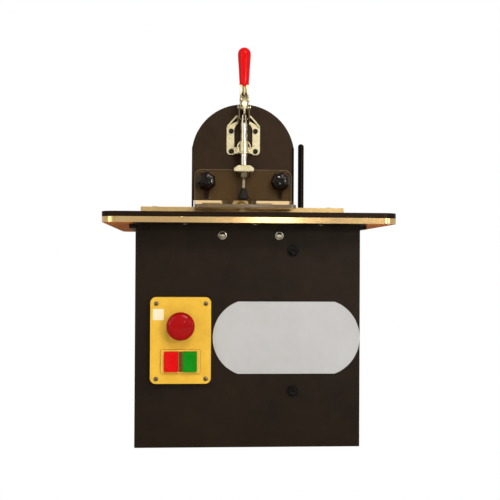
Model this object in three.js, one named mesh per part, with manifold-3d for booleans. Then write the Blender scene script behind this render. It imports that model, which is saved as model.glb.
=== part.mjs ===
// Pocket hole machine: a steel cabinet under a table with a fence, an arched bracket with a
// straight-line toggle clamp, a clear guard, a lever-swung pocket cutter and a pilot drill.
// Millimetres, +Z up. The origin is on the floor under the middle of the table; -Y is the front.
import * as THREE from 'three';
import { mergeVertices } from 'three/addons/utils/BufferGeometryUtils.js';
import Module from 'manifold-3d';

const wasm = await Module();
wasm.setup();

// Sizes shared by every piece
const gap = 0.3; // clearance between neighbouring pieces
const overrun = 2; // how far a cutter reaches past the faces that it cuts
const roundSides = 24; // sides of a turned piece
const hexSides = 6;
const domeSteps = 4; // rings of a domed head
const arcSegments = 3; // half the segments of a rounded corner
const archSegments = 16; // half the segments of the bracket's arch
const badgeSegments = 8; // half the segments of the badge plate's ends

// Cabinet of flat steel panels
const cabinet = {
  width: 323,
  depth: 380,
  height: 319,
  setback: 50, // from the table's front edge to the front panel
  sheet: 2,
  baseThickness: 3,
};
const vents = { columns: 2, rows: 8, length: 90, width: 6, pitch: 16, spacing: 130, centreHeight: 170 };

// Table: a dark sheet on a board with a metal edge band, and two rails beside the cabinet
const table = {
  width: 413,
  depth: 457,
  cornerRadius: 20,
  coreThickness: 8,
  sheetThickness: 7,
  bandThickness: 1.5,
  railWidth: 9,
  railHeight: 6,
};

// Frame behind the front panel, a top bar and a post, which takes the panel's screws
const frontFrame = {
  thickness: 8,
  barEnd: 14.5, // from each side panel
  barHeight: 24,
  postX: 64,
  postWidth: 30,
  postHeight: 260,
};
const panelScrew = { leftX: -37.5, rightX: 44, drop: 15.7, headDiameter: 12, headHeight: 4.5, shank: 5 };
const capScrew = {
  drop: 37.5,
  belowBadge: 15.7, // from the badge plate down to the lower screw's washer
  washerDiameter: 17,
  washerThickness: 1.6,
  headDiameter: 10,
  headHeight: 6,
  socketDiameter: 5,
  socketDepth: 3,
  shank: 6,
};
const screwReach = 3; // how far a panel screw ends past the piece that holds it

// Fence bar across the table, with a notch for the drill
const fence = { length: 324, height: 17.2, depth: 12.7, setback: 200, notchWidth: 7.6, notchDepth: 4.3 };

// Arched bracket behind the fence face
const bracket = {
  width: 163,
  height: 181.7,
  sideHeight: 112.8,
  arcRadius: 82,
  thickness: 3,
  windowHeight: 28, // from the table to the plate's lower edge
  flangeDepth: 40,
  flangeSlope: 50, // how much lower the flanges are at the back
  footWidth: 25,
  footDepth: 24,
  bossDiameter: 12,
  bossDepth: 6,
};

// Clear L-shaped guard on two star knobs
const guard = {
  width: 154.4,
  top: 77,
  bottom: 12.6,
  thickness: 5,
  cornerRadius: 11,
  legReach: 78, // from the fence face forward
  legRadius: 8,
  tipHole: 30,
  notchWidth: 7.6, // for the drill bit
  notchHeight: 9.8,
  slotWidth: 7.5,
  slotBottom: 30,
  slotTop: 63.6,
};
const knob = {
  spacing: 117,
  height: 57.2,
  diameter: 30,
  depth: 13,
  hubDiameter: 14,
  hubDepth: 3,
  lobes: 7,
  lobePoints: 6,
  lobeDepth: 1.6,
  stud: 6,
  studEnd: 3,
};

// Toggle clamp on the bracket; its heights count from the lower edge of its base
const clamp = {
  baseHeight: 100.2, // from the table to the base's lower edge
  axisOut: 20, // from the bracket's face to the plunger's axis
  baseWidth: 53,
  baseSideHeight: 45,
  baseInnerHeight: 63.5,
  basePeak: 10.5, // from the middle plane to the top of the sloping edge
  baseThickness: 2.5,
  baseRadius: 6,
  archRadius: 14.6, // of the opening between the two base plates
  archHeight: 38.5, // to the middle of its bow
  windowTip: 46.6, // lowest corner of the three-cornered window under the sloping edge
  windowRim: 2.2, // left between that window and the sloping edge
  windowBand: 4, // left between that window and the arch
  earThickness: 2,
  earBottom: 50,
  earFront: 5,
  earTopRadius: 5,
  holeSpacingX: 38.5,
  holeSpacingZ: 32,
  holeFirst: 6.2,
  pivotHeight: 73,
  pinDiameter: 5,
  pinHeadDiameter: 8,
  pinHeadHeight: 1.6,
};
const barrel = {
  diameter: 14.6,
  start: 0.6,
  length: 19.4,
  archDiameter: 22, // arched web behind the barrel
  archDepth: 6,
  archBand: 1.7,
  archCentre: 9.7, // above the barrel's foot
  footDiameter: 18.6,
  footHeight: 2.4,
  lugWidth: 29.8,
  lugStart: 1.2,
  lugHeight: 10,
};
const plunger = {
  diameter: 10,
  top: 61.8,
  bottom: -18,
  forkDepth: 13.5,
  forkWidth: 3.6,
  pinDiameter: 4,
  pinLength: 11,
  pinHeight: 55,
};
const link = { thickness: 3, width: 7, sagitta: 6, headWidth: 6.2, headLength: 12 };
const handle = {
  width: 13,
  plateThickness: 2,
  crank: 13,
  crankAngleDegrees: 30,
  crankRadius: 4.5,
  rivetDiameter: 5,
  rivetHeight: 1,
  footRadius: 5.5,
  webStart: 22,
  backStart: 8, // lower end of the channel's back, above the pivot
  backThickness: 2,
  neckDepth: 12,
  tangEnd: 78,
  tangWidth: 9,
  tangDepth: 6,
};
const grip = { start: 35.8, length: 59.5, bottomDiameter: 15, topDiameter: 20, domeHeight: 7 };
const clampScrew = { headDiameter: 8, headHeight: 2.6, shank: 4.4, end: 4, slotWidth: 1.2, slotDepth: 1 };

// Arm, lock nut, threaded spindle and rubber tip at the plunger's foot
const spindle = {
  armWidth: 31,
  armDepth: 13,
  armHeight: 9.6,
  armTopWidth: 19,
  armShoulder: 4.4,
  nutWidth: 19,
  nutHeight: 9.4,
  diameter: 6,
  length: 43.6,
  tipTopDiameter: 9,
  tipDiameter: 17,
  tipHeight: 17.4,
  tipSkirt: 4,
  tipBore: 8,
};

// Control station on the front panel
const station = {
  centreX: -96.5,
  centreZ: 153.5,
  width: 86,
  height: 122.6,
  depth: 10,
  cornerRadius: 8,
  blockWidth: 64,
  blockHeight: 108,
  blockDepth: 40,
  blockBore: 26,
};
const stop = { z: 174.5, headDiameter: 40, headHeight: 14, headStand: 10, stem: 16, stemEnd: 16 };
const buttons = {
  z: 123.8,
  width: 20.4,
  height: 28.6,
  divider: 5.5,
  proud: 4,
  depth: 9,
  stem: 6,
  stemEnd: 10,
  bezelWidth: 55.8,
  bezelHeight: 33.2,
  bezelDepth: 3,
  bezelRadius: 3,
};

// Bare plate with arc ends on the front panel
const badge = {
  fromStation: 2.5, // from the station's cover to the plate
  centreZ: 156.8,
  width: 212,
  height: 103.4,
  straight: 139.5,
  thickness: 1.5,
};

// Swing unit: a cross shaft with the lever, the router on its arm, and the drill's drive arm
const swing = {
  setback: 300, // from the table's front edge to the shaft
  depth: 120, // from the table top down to the shaft
  shaft: 16,
  bearingDiameter: 46,
  bearingThickness: 10,
  backDegrees: 12,
  forwardDegrees: 16,
};
const lever = {
  x: 104.5,
  diameter: 10,
  height: 132, // from the table to its round end
  hubDiameter: 30,
  hubLength: 22,
  slotWidth: 13,
  slotEnds: 4,
};
const router = {
  reach: 145, // from the shaft forward to the cutter's axis
  diameter: 60,
  length: 120,
  top: 40, // the motor's upper end above the shaft
  capHeight: 8,
  neckDiameter: 20,
  neckLength: 18,
  bit: 9.5,
  bitTop: 100,
  shank: 6,
  socketDepth: 12,
};
const arm = {
  width: 44,
  bossDiameter: 34,
  bossLength: 60,
  height: 36,
  ringWall: 8,
};
const throat = { front: 140, back: 194, width: 18 };

// Pilot drill: a motor in a saddle on two round rails, tilted down to the fence notch
const drill = {
  tiltDegrees: 6,
  axisHeight: 18, // above the table at the fence face
  bit: 3.6,
  tipLength: 3,
  tip: 15,
  chuckNose: 56,
  chuckFlare: 14,
  chuckNoseDiameter: 14,
  chuck: 27,
  chuckEnd: 88,
  neck: 12,
  motor: 40,
  motorFront: 92,
  motorBack: 190,
  motorDome: 8,
  neckSocket: 4,
};
const saddle = {
  front: 105,
  back: 150,
  width: 58,
  bottom: -24,
  top: 26,
  wingWidth: 114,
  wingBottom: -18,
  wingTop: -2,
};
const rail = { diameter: 10, spacing: 88, drop: 10, overhang: 1 };
const railBlock = {
  front: 60,
  back: 190,
  thickness: 12,
  width: 124,
  headroom: 3,
  floor: 3.2,
  notchWidth: 60,
};
const drive = {
  tongueX: -44,
  tongueWidth: 8,
  tongueDepth: 10,
  tongueSetback: 15, // behind the shaft
  pinHeight: 85, // above the shaft
  pinDiameter: 6,
  pinEnd: 8,
  tongueBelowPin: 6,
  strokeForward: 24,
  strokeBack: 18,
  slotEnds: 3,
  armThickness: 6,
  armWidth: 22,
  armHub: 30,
  slotWidth: 12,
  slotHeight: 22,
};

// Places worked out from the sizes above
const degree = Math.PI / 180;
const frontEdge = -table.depth / 2;
const panelFront = frontEdge + cabinet.setback;
const panelBack = panelFront + cabinet.sheet;
const cabinetBack = panelFront + cabinet.depth;
const coreBottom = cabinet.height + gap;
const coreTop = coreBottom + table.coreThickness;
const sheetBottom = coreTop + gap;
const tableTop = sheetBottom + table.sheetThickness;
const fenceFace = frontEdge + fence.setback;
const bracketBack = fenceFace + bracket.thickness;
const clampZ = tableTop + clamp.baseHeight;
const clampY = fenceFace - clamp.axisOut;
const clampBack = fenceFace - gap;
const pivotZ = clampZ + clamp.pivotHeight;
const shaftY = frontEdge + swing.setback;
const shaftZ = tableTop - swing.depth;
const routerY = shaftY - router.reach;
const drillZ = tableTop + drill.axisHeight;
const drillTilt = drill.tiltDegrees * degree;
const tongueY = shaftY + drive.tongueSetback;
const tonguePinZ = shaftZ + drive.pinHeight;

// Directions and frames for outlines drawn on a plane
const xAxis = new THREE.Vector3(1, 0, 0);
const yAxis = new THREE.Vector3(0, 1, 0);
const zAxis = new THREE.Vector3(0, 0, 1);
const uprightFacingFront = new THREE.Matrix4().makeBasis(xAxis, zAxis, yAxis.clone().negate());
const uprightFacingSide = new THREE.Matrix4().makeBasis(yAxis, zAxis, xAxis);

// Materials
function finish(color, roughness, metalness) {
  return new THREE.MeshStandardMaterial({ color, roughness, metalness });
}
const blackPaint = finish(0x26201a, 0.5, 0.3);
const blackSteel = finish(0x201c18, 0.35, 0.8);
const darkSheet = finish(0x2a2018, 0.45, 0);
const board = finish(0xb47030, 0.8, 0);
const goldBand = finish(0xd8c890, 0.3, 0.9);
const aluminium = finish(0xc8b888, 0.4, 0.9);
const zincPlate = finish(0xdccfa4, 0.35, 0.9);
const brightSteel = finish(0xb8b8b4, 0.3, 1);
const redVinyl = finish(0xe01018, 0.4, 0);
const blackRubber = finish(0x181614, 0.8, 0);
const blackPlastic = finish(0x141210, 0.25, 0);
const clearPlastic = finish(0x544228, 0.1, 0);
const yellowPaint = finish(0xf0bf3c, 0.45, 0);
const brownPlastic = finish(0x4a3420, 0.5, 0);
const redPlastic = finish(0xc81018, 0.35, 0);
const greenPlastic = finish(0x1c9018, 0.35, 0);
const greyPlate = finish(0xd4d4d6, 0.45, 0.1);

// A geometry as a solid that can be joined and cut
function solidOf(geometry) {
  const bare = geometry.clone();
  bare.deleteAttribute('normal');
  bare.deleteAttribute('uv');
  const merged = mergeVertices(bare, 1e-4);
  const corners = Array.from(merged.index.array);
  const kept = [];
  for (let i = 0; i < corners.length; i += 3) {
    const [a, b, c] = corners.slice(i, i + 3);
    if (a !== b && b !== c && c !== a) kept.push(a, b, c);
  }
  return new wasm.Manifold(
    new wasm.Mesh({
      numProp: 3,
      vertProperties: new Float32Array(merged.attributes.position.array),
      triVerts: new Uint32Array(kept),
    }),
  );
}

function join(first, ...others) {
  return others.reduce((sum, solid) => sum.add(solid), first);
}

function cut(first, ...others) {
  return others.reduce((rest, solid) => rest.subtract(solid), first);
}

// A solid as a named mesh
function piece(name, solid, material) {
  const { vertProperties, triVerts, numProp } = solid.getMesh();
  const positions = new Float32Array((vertProperties.length / numProp) * 3);
  for (let i = 0; i < positions.length / 3; i += 1) {
    positions.set(vertProperties.subarray(i * numProp, i * numProp + 3), i * 3);
  }
  const geometry = new THREE.BufferGeometry();
  geometry.setAttribute('position', new THREE.BufferAttribute(positions, 3));
  geometry.setIndex(new THREE.BufferAttribute(new Uint32Array(triVerts), 1));
  geometry.computeVertexNormals();
  const mesh = new THREE.Mesh(geometry, material);
  mesh.name = name;
  return mesh;
}

// A block between two corners
function block(x0, x1, y0, y1, z0, z1) {
  const geometry = new THREE.BoxGeometry(x1 - x0, y1 - y0, z1 - z0);
  geometry.translate((x0 + x1) / 2, (y0 + y1) / 2, (z0 + z1) / 2);
  return solidOf(geometry);
}

// Rods along the axes, from one place to another
function rodX(radius, x0, x1, y, z, sides = roundSides) {
  const geometry = new THREE.CylinderGeometry(radius, radius, x1 - x0, sides);
  geometry.rotateZ(Math.PI / 2);
  geometry.translate((x0 + x1) / 2, y, z);
  return solidOf(geometry);
}

function rodY(radius, x, y0, y1, z, sides = roundSides) {
  const geometry = new THREE.CylinderGeometry(radius, radius, y1 - y0, sides);
  geometry.translate(x, (y0 + y1) / 2, z);
  return solidOf(geometry);
}

function rodZ(radius, x, y, z0, z1, sides = roundSides) {
  const geometry = new THREE.CylinderGeometry(radius, radius, z1 - z0, sides);
  geometry.rotateX(Math.PI / 2);
  geometry.translate(x, y, (z0 + z1) / 2);
  return solidOf(geometry);
}

// A turned solid about +Z; each profile point is a radius and a height, from foot to top
function turned(profile, sides = roundSides) {
  const points = profile.map(([radius, height]) => new THREE.Vector2(radius, height));
  const geometry = new THREE.LatheGeometry(points, sides);
  geometry.rotateX(Math.PI / 2);
  return solidOf(geometry);
}

// The points of a quarter-ellipse dome, from its rim to the axis
function dome(radius, foot, height, steps = domeSteps) {
  const points = [];
  for (let i = 0; i < steps; i += 1) {
    const angle = ((i / steps) * Math.PI) / 2;
    points.push([radius * Math.cos(angle), foot + height * Math.sin(angle)]);
  }
  points.push([0, foot + height]);
  return points;
}

// Outlines extruded flat, facing the front, or facing the side
function extruded(shape, thickness, curveSegments) {
  const options = { depth: thickness, bevelEnabled: false, curveSegments };
  return new THREE.ExtrudeGeometry(shape, options);
}

function flatSlab(shape, z0, z1) {
  const geometry = extruded(shape, z1 - z0, arcSegments);
  geometry.translate(0, 0, z0);
  return solidOf(geometry);
}

function frontSlab(shape, y0, y1, segments = arcSegments) {
  const geometry = extruded(shape, y1 - y0, segments);
  geometry.applyMatrix4(uprightFacingFront);
  geometry.translate(0, y1, 0);
  return solidOf(geometry);
}

function sideSlab(shape, x0, x1) {
  const geometry = extruded(shape, x1 - x0, arcSegments);
  geometry.applyMatrix4(uprightFacingSide);
  geometry.translate(x0, 0, 0);
  return solidOf(geometry);
}

function polygon(points) {
  return new THREE.Shape(points.map(([u, v]) => new THREE.Vector2(u, v)));
}

// A rectangle with round corners; the radii run from the lower left corner anticlockwise
function roundedRectangle(u0, u1, v0, v1, radii) {
  const [a, b, c, d] = typeof radii === 'number' ? [radii, radii, radii, radii] : radii;
  const shape = new THREE.Shape();
  shape.moveTo(u0 + a, v0);
  shape.lineTo(u1 - b, v0);
  if (b > 0) shape.absarc(u1 - b, v0 + b, b, -Math.PI / 2, 0, false);
  shape.lineTo(u1, v1 - c);
  if (c > 0) shape.absarc(u1 - c, v1 - c, c, 0, Math.PI / 2, false);
  shape.lineTo(u0 + d, v1);
  if (d > 0) shape.absarc(u0 + d, v1 - d, d, Math.PI / 2, Math.PI, false);
  shape.lineTo(u0, v0 + a);
  if (a > 0) shape.absarc(u0 + a, v0 + a, a, Math.PI, Math.PI * 1.5, false);
  return shape;
}

function moved(solid, x, y, z) {
  return solid.translate([x, y, z]);
}

// Cabinet panels
function cabinetPanels() {
  const half = cabinet.width / 2;
  const innerFront = panelBack + gap;
  const rearFront = cabinetBack - cabinet.sheet;
  const innerBack = rearFront - gap;
  const innerHalf = half - cabinet.sheet - gap;
  const front = cut(
    block(-half, half, panelFront, panelBack, 0, cabinet.height),
    rodY(stop.stem / 2 + gap, station.centreX, panelFront - overrun, panelBack + overrun, stop.z),
    ...buttonCentres().map((x) =>
      rodY(buttons.stem / 2 + gap, x, panelFront - overrun, panelBack + overrun, buttons.z),
    ),
    ...frontScrewPlaces().map(({ x, z, shank }) =>
      rodY(shank / 2 + gap, x, panelFront - overrun, panelBack + overrun, z),
    ),
  );
  const left = block(-half, -half + cabinet.sheet, innerFront, innerBack, 0, cabinet.height);
  const right = block(half - cabinet.sheet, half, innerFront, innerBack, 0, cabinet.height);
  const rearSlots = [];
  for (let column = 0; column < vents.columns; column += 1) {
    for (let row = 0; row < vents.rows; row += 1) {
      const x = (column - (vents.columns - 1) / 2) * vents.spacing;
      const z = vents.centreHeight + (row - (vents.rows - 1) / 2) * vents.pitch;
      const [w, h] = [vents.length / 2, vents.width / 2];
      rearSlots.push(block(x - w, x + w, rearFront - overrun, cabinetBack + overrun, z - h, z + h));
    }
  }
  const rear = cut(block(-half, half, rearFront, cabinetBack, 0, cabinet.height), ...rearSlots);
  const base = block(-innerHalf, innerHalf, innerFront, innerBack, 0, cabinet.baseThickness);
  return [
    piece('front_panel', front, blackPaint),
    piece('left_side_panel', left, blackPaint),
    piece('right_side_panel', right, blackPaint),
    piece('rear_cover', rear, blackPaint),
    piece('base_plate', base, blackPaint),
  ];
}

function buttonCentres() {
  const offset = (buttons.divider + buttons.width) / 2;
  return [station.centreX - offset, station.centreX + offset];
}

// The four screws that show on the front panel
function frontScrewPlaces() {
  const top = cabinet.height;
  const upper = top - capScrew.drop;
  const badgeFoot = badge.centreZ - badge.height / 2;
  const lower = badgeFoot - capScrew.belowBadge - capScrew.washerDiameter / 2;
  return [
    { name: 'panel_screw_left', x: panelScrew.leftX, z: top - panelScrew.drop, shank: panelScrew.shank },
    { name: 'panel_screw_right', x: panelScrew.rightX, z: top - panelScrew.drop, shank: panelScrew.shank },
    { name: 'cap_screw_upper', x: frontFrame.postX, z: upper, shank: capScrew.shank },
    { name: 'cap_screw_lower', x: frontFrame.postX, z: lower, shank: capScrew.shank },
  ];
}

// Frame behind the front panel with the screws that hold it
function frontFrameAndScrews() {
  const y0 = panelBack + gap;
  const y1 = y0 + frontFrame.thickness;
  const top = cabinet.height - gap;
  const places = frontScrewPlaces();
  const halfPost = frontFrame.postWidth / 2;
  const halfBar = cabinet.width / 2 - cabinet.sheet - frontFrame.barEnd;
  const bar = block(-halfBar, halfBar, y0, y1, top - frontFrame.barHeight, top);
  const [postLeft, postRight] = [frontFrame.postX - halfPost, frontFrame.postX + halfPost];
  const post = block(postLeft, postRight, y0, y1, top - frontFrame.postHeight, top);
  const frame = cut(
    join(bar, post),
    ...places.map(({ x, z, shank }) => rodY(shank / 2 + gap, x, y0 - overrun, y1 + overrun, z)),
  );
  const shankEnd = y1 + screwReach;
  const headBack = panelFront - gap;
  const pieces = places.map(({ name, x, z, shank }) => {
    const stem = rodY(shank / 2, x, headBack - gap, shankEnd, z, roundSides / 2);
    if (name.startsWith('panel')) {
      const head = turned([[0, 0], ...dome(panelScrew.headDiameter / 2, 0, panelScrew.headHeight)]);
      return piece(name, join(moved(head.rotate([90, 0, 0]), x, headBack, z), stem), brightSteel);
    }
    const washerFront = headBack - capScrew.washerThickness;
    const headFront = washerFront - capScrew.headHeight;
    const washer = rodY(capScrew.washerDiameter / 2, x, washerFront, headBack, z);
    const head = rodY(capScrew.headDiameter / 2, x, headFront, washerFront, z);
    const socketBack = headFront + capScrew.socketDepth;
    const socket = rodY(capScrew.socketDiameter / 2, x, headFront - overrun, socketBack, z, hexSides);
    return piece(name, cut(join(washer, head, stem), socket), blackSteel);
  });
  return [piece('front_frame', frame, brightSteel), ...pieces];
}

// Cuts that the table's sheet and board share: the cutter's throat, the lever's slot, the tongue's slot
function tableCuts() {
  const z0 = coreBottom - overrun;
  const z1 = tableTop + overrun;
  const throatCut = roundedRectangle(
    -throat.width / 2,
    throat.width / 2,
    frontEdge + throat.front,
    frontEdge + throat.back,
    throat.width / 2 - gap,
  );
  const back = swing.depth * Math.tan(swing.backDegrees * degree) + lever.diameter / 2;
  const forward = swing.depth * Math.tan(swing.forwardDegrees * degree) + lever.diameter / 2;
  const leverCut = roundedRectangle(
    lever.x - lever.slotWidth / 2,
    lever.x + lever.slotWidth / 2,
    shaftY - forward - lever.slotEnds,
    shaftY + back + lever.slotEnds,
    lever.slotWidth / 2 - gap,
  );
  const halfTongue = drive.tongueDepth / 2;
  const tongueCut = roundedRectangle(
    drive.tongueX - drive.tongueWidth,
    drive.tongueX + drive.tongueWidth,
    tongueY - halfTongue - drive.strokeForward - drive.slotEnds,
    tongueY + halfTongue + drive.strokeBack + drive.slotEnds,
    drive.slotEnds,
  );
  return [throatCut, leverCut, tongueCut].map((shape) => flatSlab(shape, z0, z1));
}

function tableOutline(inset) {
  const halfWidth = table.width / 2 - inset;
  const halfDepth = table.depth / 2 - inset;
  return roundedRectangle(-halfWidth, halfWidth, -halfDepth, halfDepth, table.cornerRadius - inset);
}

function tablePieces() {
  const cuts = tableCuts();
  const coreInset = table.bandThickness + gap;
  const sheet = cut(flatSlab(tableOutline(0), sheetBottom, tableTop), ...cuts);
  const core = cut(flatSlab(tableOutline(coreInset), coreBottom, coreTop), ...cuts);
  const ring = cut(
    flatSlab(tableOutline(0), coreBottom, coreTop),
    flatSlab(tableOutline(table.bandThickness), coreBottom - overrun, coreTop + overrun),
  );
  const seam = table.width / 2 - table.cornerRadius;
  const bandBack = frontEdge + table.bandThickness;
  const frontStrip = block(-seam, seam, frontEdge, bandBack, coreBottom, coreTop);
  const stripRoom = block(
    -seam - gap,
    seam + gap,
    frontEdge - overrun,
    bandBack + gap,
    coreBottom - overrun,
    coreTop + overrun,
  );
  const railTop = coreBottom - gap;
  const railFront = panelFront;
  const inner = cabinet.width / 2 + gap;
  const railAt = (x0, x1) => block(x0, x1, railFront, cabinetBack, railTop - table.railHeight, railTop);
  return [
    piece('table_top_sheet', sheet, darkSheet),
    piece('table_core', core, board),
    piece('edge_band_front', frontStrip, goldBand),
    piece('edge_band_wrap', cut(ring, stripRoom), goldBand),
    piece('table_rail_left', railAt(-inner - table.railWidth, -inner), blackPaint),
    piece('table_rail_right', railAt(inner, inner + table.railWidth), blackPaint),
  ];
}

function fenceBar() {
  const half = fence.length / 2;
  const foot = tableTop + gap;
  const top = foot + fence.height;
  const body = block(-half, half, fenceFace, fenceFace + fence.depth, foot, top);
  const notch = block(
    -fence.notchWidth / 2,
    fence.notchWidth / 2,
    fenceFace - overrun,
    fenceFace + fence.depth + overrun,
    top - fence.notchDepth,
    top + overrun,
  );
  return piece('fence_bar', cut(body, notch), aluminium);
}

// Arched plate with folded flanges, feet, and two threaded bosses behind the knobs
function archedBracket() {
  const half = bracket.width / 2;
  const foot = tableTop + gap;
  const side = tableTop + bracket.sideHeight;
  const top = tableTop + bracket.height;
  const centreZ = top - bracket.arcRadius;
  const archShape = new THREE.Shape();
  const edge = Math.asin(Math.min(1, (side - centreZ) / bracket.arcRadius));
  archShape.moveTo(-half, tableTop + bracket.windowHeight);
  archShape.lineTo(half, tableTop + bracket.windowHeight);
  archShape.lineTo(half, side);
  archShape.absarc(0, centreZ, bracket.arcRadius, edge, Math.PI - edge, false);
  archShape.lineTo(-half, side);
  const plate = frontSlab(archShape, fenceFace, bracketBack, archSegments);
  const fenceRoomTop = foot + fence.height + gap;
  const fenceRoomBack = fenceFace + fence.depth + gap;
  const flangeBack = fenceFace + bracket.flangeDepth;
  const flangeShape = polygon([
    [fenceFace, fenceRoomTop],
    [fenceRoomBack, fenceRoomTop],
    [fenceRoomBack, foot],
    [flangeBack, foot],
    [flangeBack, side - bracket.flangeSlope],
    [fenceFace, side],
  ]);
  const inner = half - bracket.thickness;
  const flanges = [sideSlab(flangeShape, -half, -inner), sideSlab(flangeShape, inner, half)];
  const footFront = flangeBack - bracket.footDepth;
  const footTop = foot + bracket.thickness;
  const feet = [-1, 1].map((sign) => {
    const far = sign * (inner + bracket.footWidth);
    const near = sign * inner;
    return block(Math.min(near, far), Math.max(near, far), footFront, flangeBack, foot, footTop);
  });
  const knobZ = tableTop + knob.height;
  const knobPlaces = [-knob.spacing / 2, knob.spacing / 2];
  const bossEnd = bracketBack + bracket.bossDepth;
  const bosses = knobPlaces.map((x) => rodY(bracket.bossDiameter / 2, x, fenceFace + gap, bossEnd, knobZ));
  const knobBores = knobPlaces.map((x) =>
    rodY(knob.stud / 2 + gap, x, fenceFace - overrun, bossEnd + overrun, knobZ),
  );
  const screwBores = clampScrewPlaces().map(({ x, z }) =>
    rodY(clampScrew.shank / 2 + gap, x, fenceFace - overrun, bracketBack + overrun, z),
  );
  const folded = join(plate, ...flanges, ...feet, ...bosses);
  return piece('clamp_bracket', cut(folded, ...knobBores, ...screwBores), blackPaint);
}

// Clear L-shaped guard: an upright panel with two slots and a notch, and a leg with a hole for the tip
function guardShield() {
  const half = guard.width / 2;
  const back = fenceFace - gap;
  const front = back - guard.thickness;
  const bottom = tableTop + guard.bottom;
  const top = tableTop + guard.top;
  const round = guard.cornerRadius;
  const panel = frontSlab(roundedRectangle(-half, half, bottom, top, [0, 0, round, round]), front, back);
  const legFront = fenceFace - guard.legReach;
  const legShape = roundedRectangle(-half, half, legFront, back, [guard.legRadius, guard.legRadius, 0, 0]);
  const leg = flatSlab(legShape, bottom, bottom + guard.thickness);
  const tipHole = rodZ(guard.tipHole / 2, 0, clampY, bottom - overrun, bottom + guard.thickness + overrun);
  const halfNotch = guard.notchWidth / 2;
  const notchTop = bottom + guard.notchHeight;
  const notch = block(-halfNotch, halfNotch, front - overrun, back + overrun, bottom - overrun, notchTop);
  const keepPanel = block(-half, half, front, back, bottom - overrun, top + overrun);
  const slots = [-1, 1].map((sign) => {
    const x = (sign * knob.spacing) / 2;
    const w = guard.slotWidth / 2;
    const [foot, head] = [tableTop + guard.slotBottom, tableTop + guard.slotTop];
    return frontSlab(roundedRectangle(x - w, x + w, foot, head, w - gap), front - overrun, back + overrun);
  });
  return piece('guard_shield', cut(join(panel, leg), cut(tipHole, keepPanel), notch, ...slots), clearPlastic);
}

// Star knob with its stud, which turns in the bracket's boss
function starKnob(name, side) {
  const x = (side * knob.spacing) / 2;
  const z = tableTop + knob.height;
  const hubBack = fenceFace - gap - guard.thickness - gap;
  const starBack = hubBack - knob.hubDepth;
  const starFront = starBack - knob.depth;
  const star = new THREE.Shape();
  const steps = knob.lobes * knob.lobePoints;
  const middle = knob.diameter / 2 - knob.lobeDepth;
  for (let i = 0; i < steps; i += 1) {
    const angle = (i / steps) * Math.PI * 2;
    const radius = middle + knob.lobeDepth * Math.cos(knob.lobes * angle);
    const place = [x + radius * Math.sin(angle), z + radius * Math.cos(angle)];
    if (i === 0) star.moveTo(...place);
    else star.lineTo(...place);
  }
  const body = frontSlab(star, starFront, starBack);
  const hub = rodY(knob.hubDiameter / 2, x, starBack - gap, hubBack, z);
  const studEnd = bracketBack + bracket.bossDepth + knob.studEnd;
  const stud = rodY(knob.stud / 2, x, hubBack - gap, studEnd, z, roundSides / 2);
  return piece(name, join(body, hub, stud), blackPlastic);
}

function clampScrewPlaces() {
  const places = [];
  for (const row of [0, 1]) {
    for (const side of [-1, 1]) {
      const x = (side * clamp.holeSpacingX) / 2;
      places.push({ x, z: clampZ + clamp.holeFirst + row * clamp.holeSpacingZ });
    }
  }
  return places;
}

function clampScrews() {
  const back = clampBack - clamp.baseThickness - gap;
  const slotBack = back - clampScrew.headHeight + clampScrew.slotDepth;
  const end = bracketBack + clampScrew.end;
  return clampScrewPlaces().map(({ x, z }, index) => {
    const profile = [[0, 0], ...dome(clampScrew.headDiameter / 2, 0, clampScrew.headHeight)];
    const head = moved(turned(profile, roundSides / 2).rotate([90, 0, 0]), x, back, z);
    const shank = rodY(clampScrew.shank / 2, x, back - gap, end, z, roundSides / 2);
    const reach = clampScrew.headDiameter;
    const w = clampScrew.slotWidth / 2;
    const slotFront = slotBack - clampScrew.headHeight - overrun;
    const slot = block(x - reach, x + reach, slotFront, slotBack, z - w, z + w);
    return piece(`clamp_screw_${index + 1}`, cut(join(head, shank), slot), blackSteel);
  });
}

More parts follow.
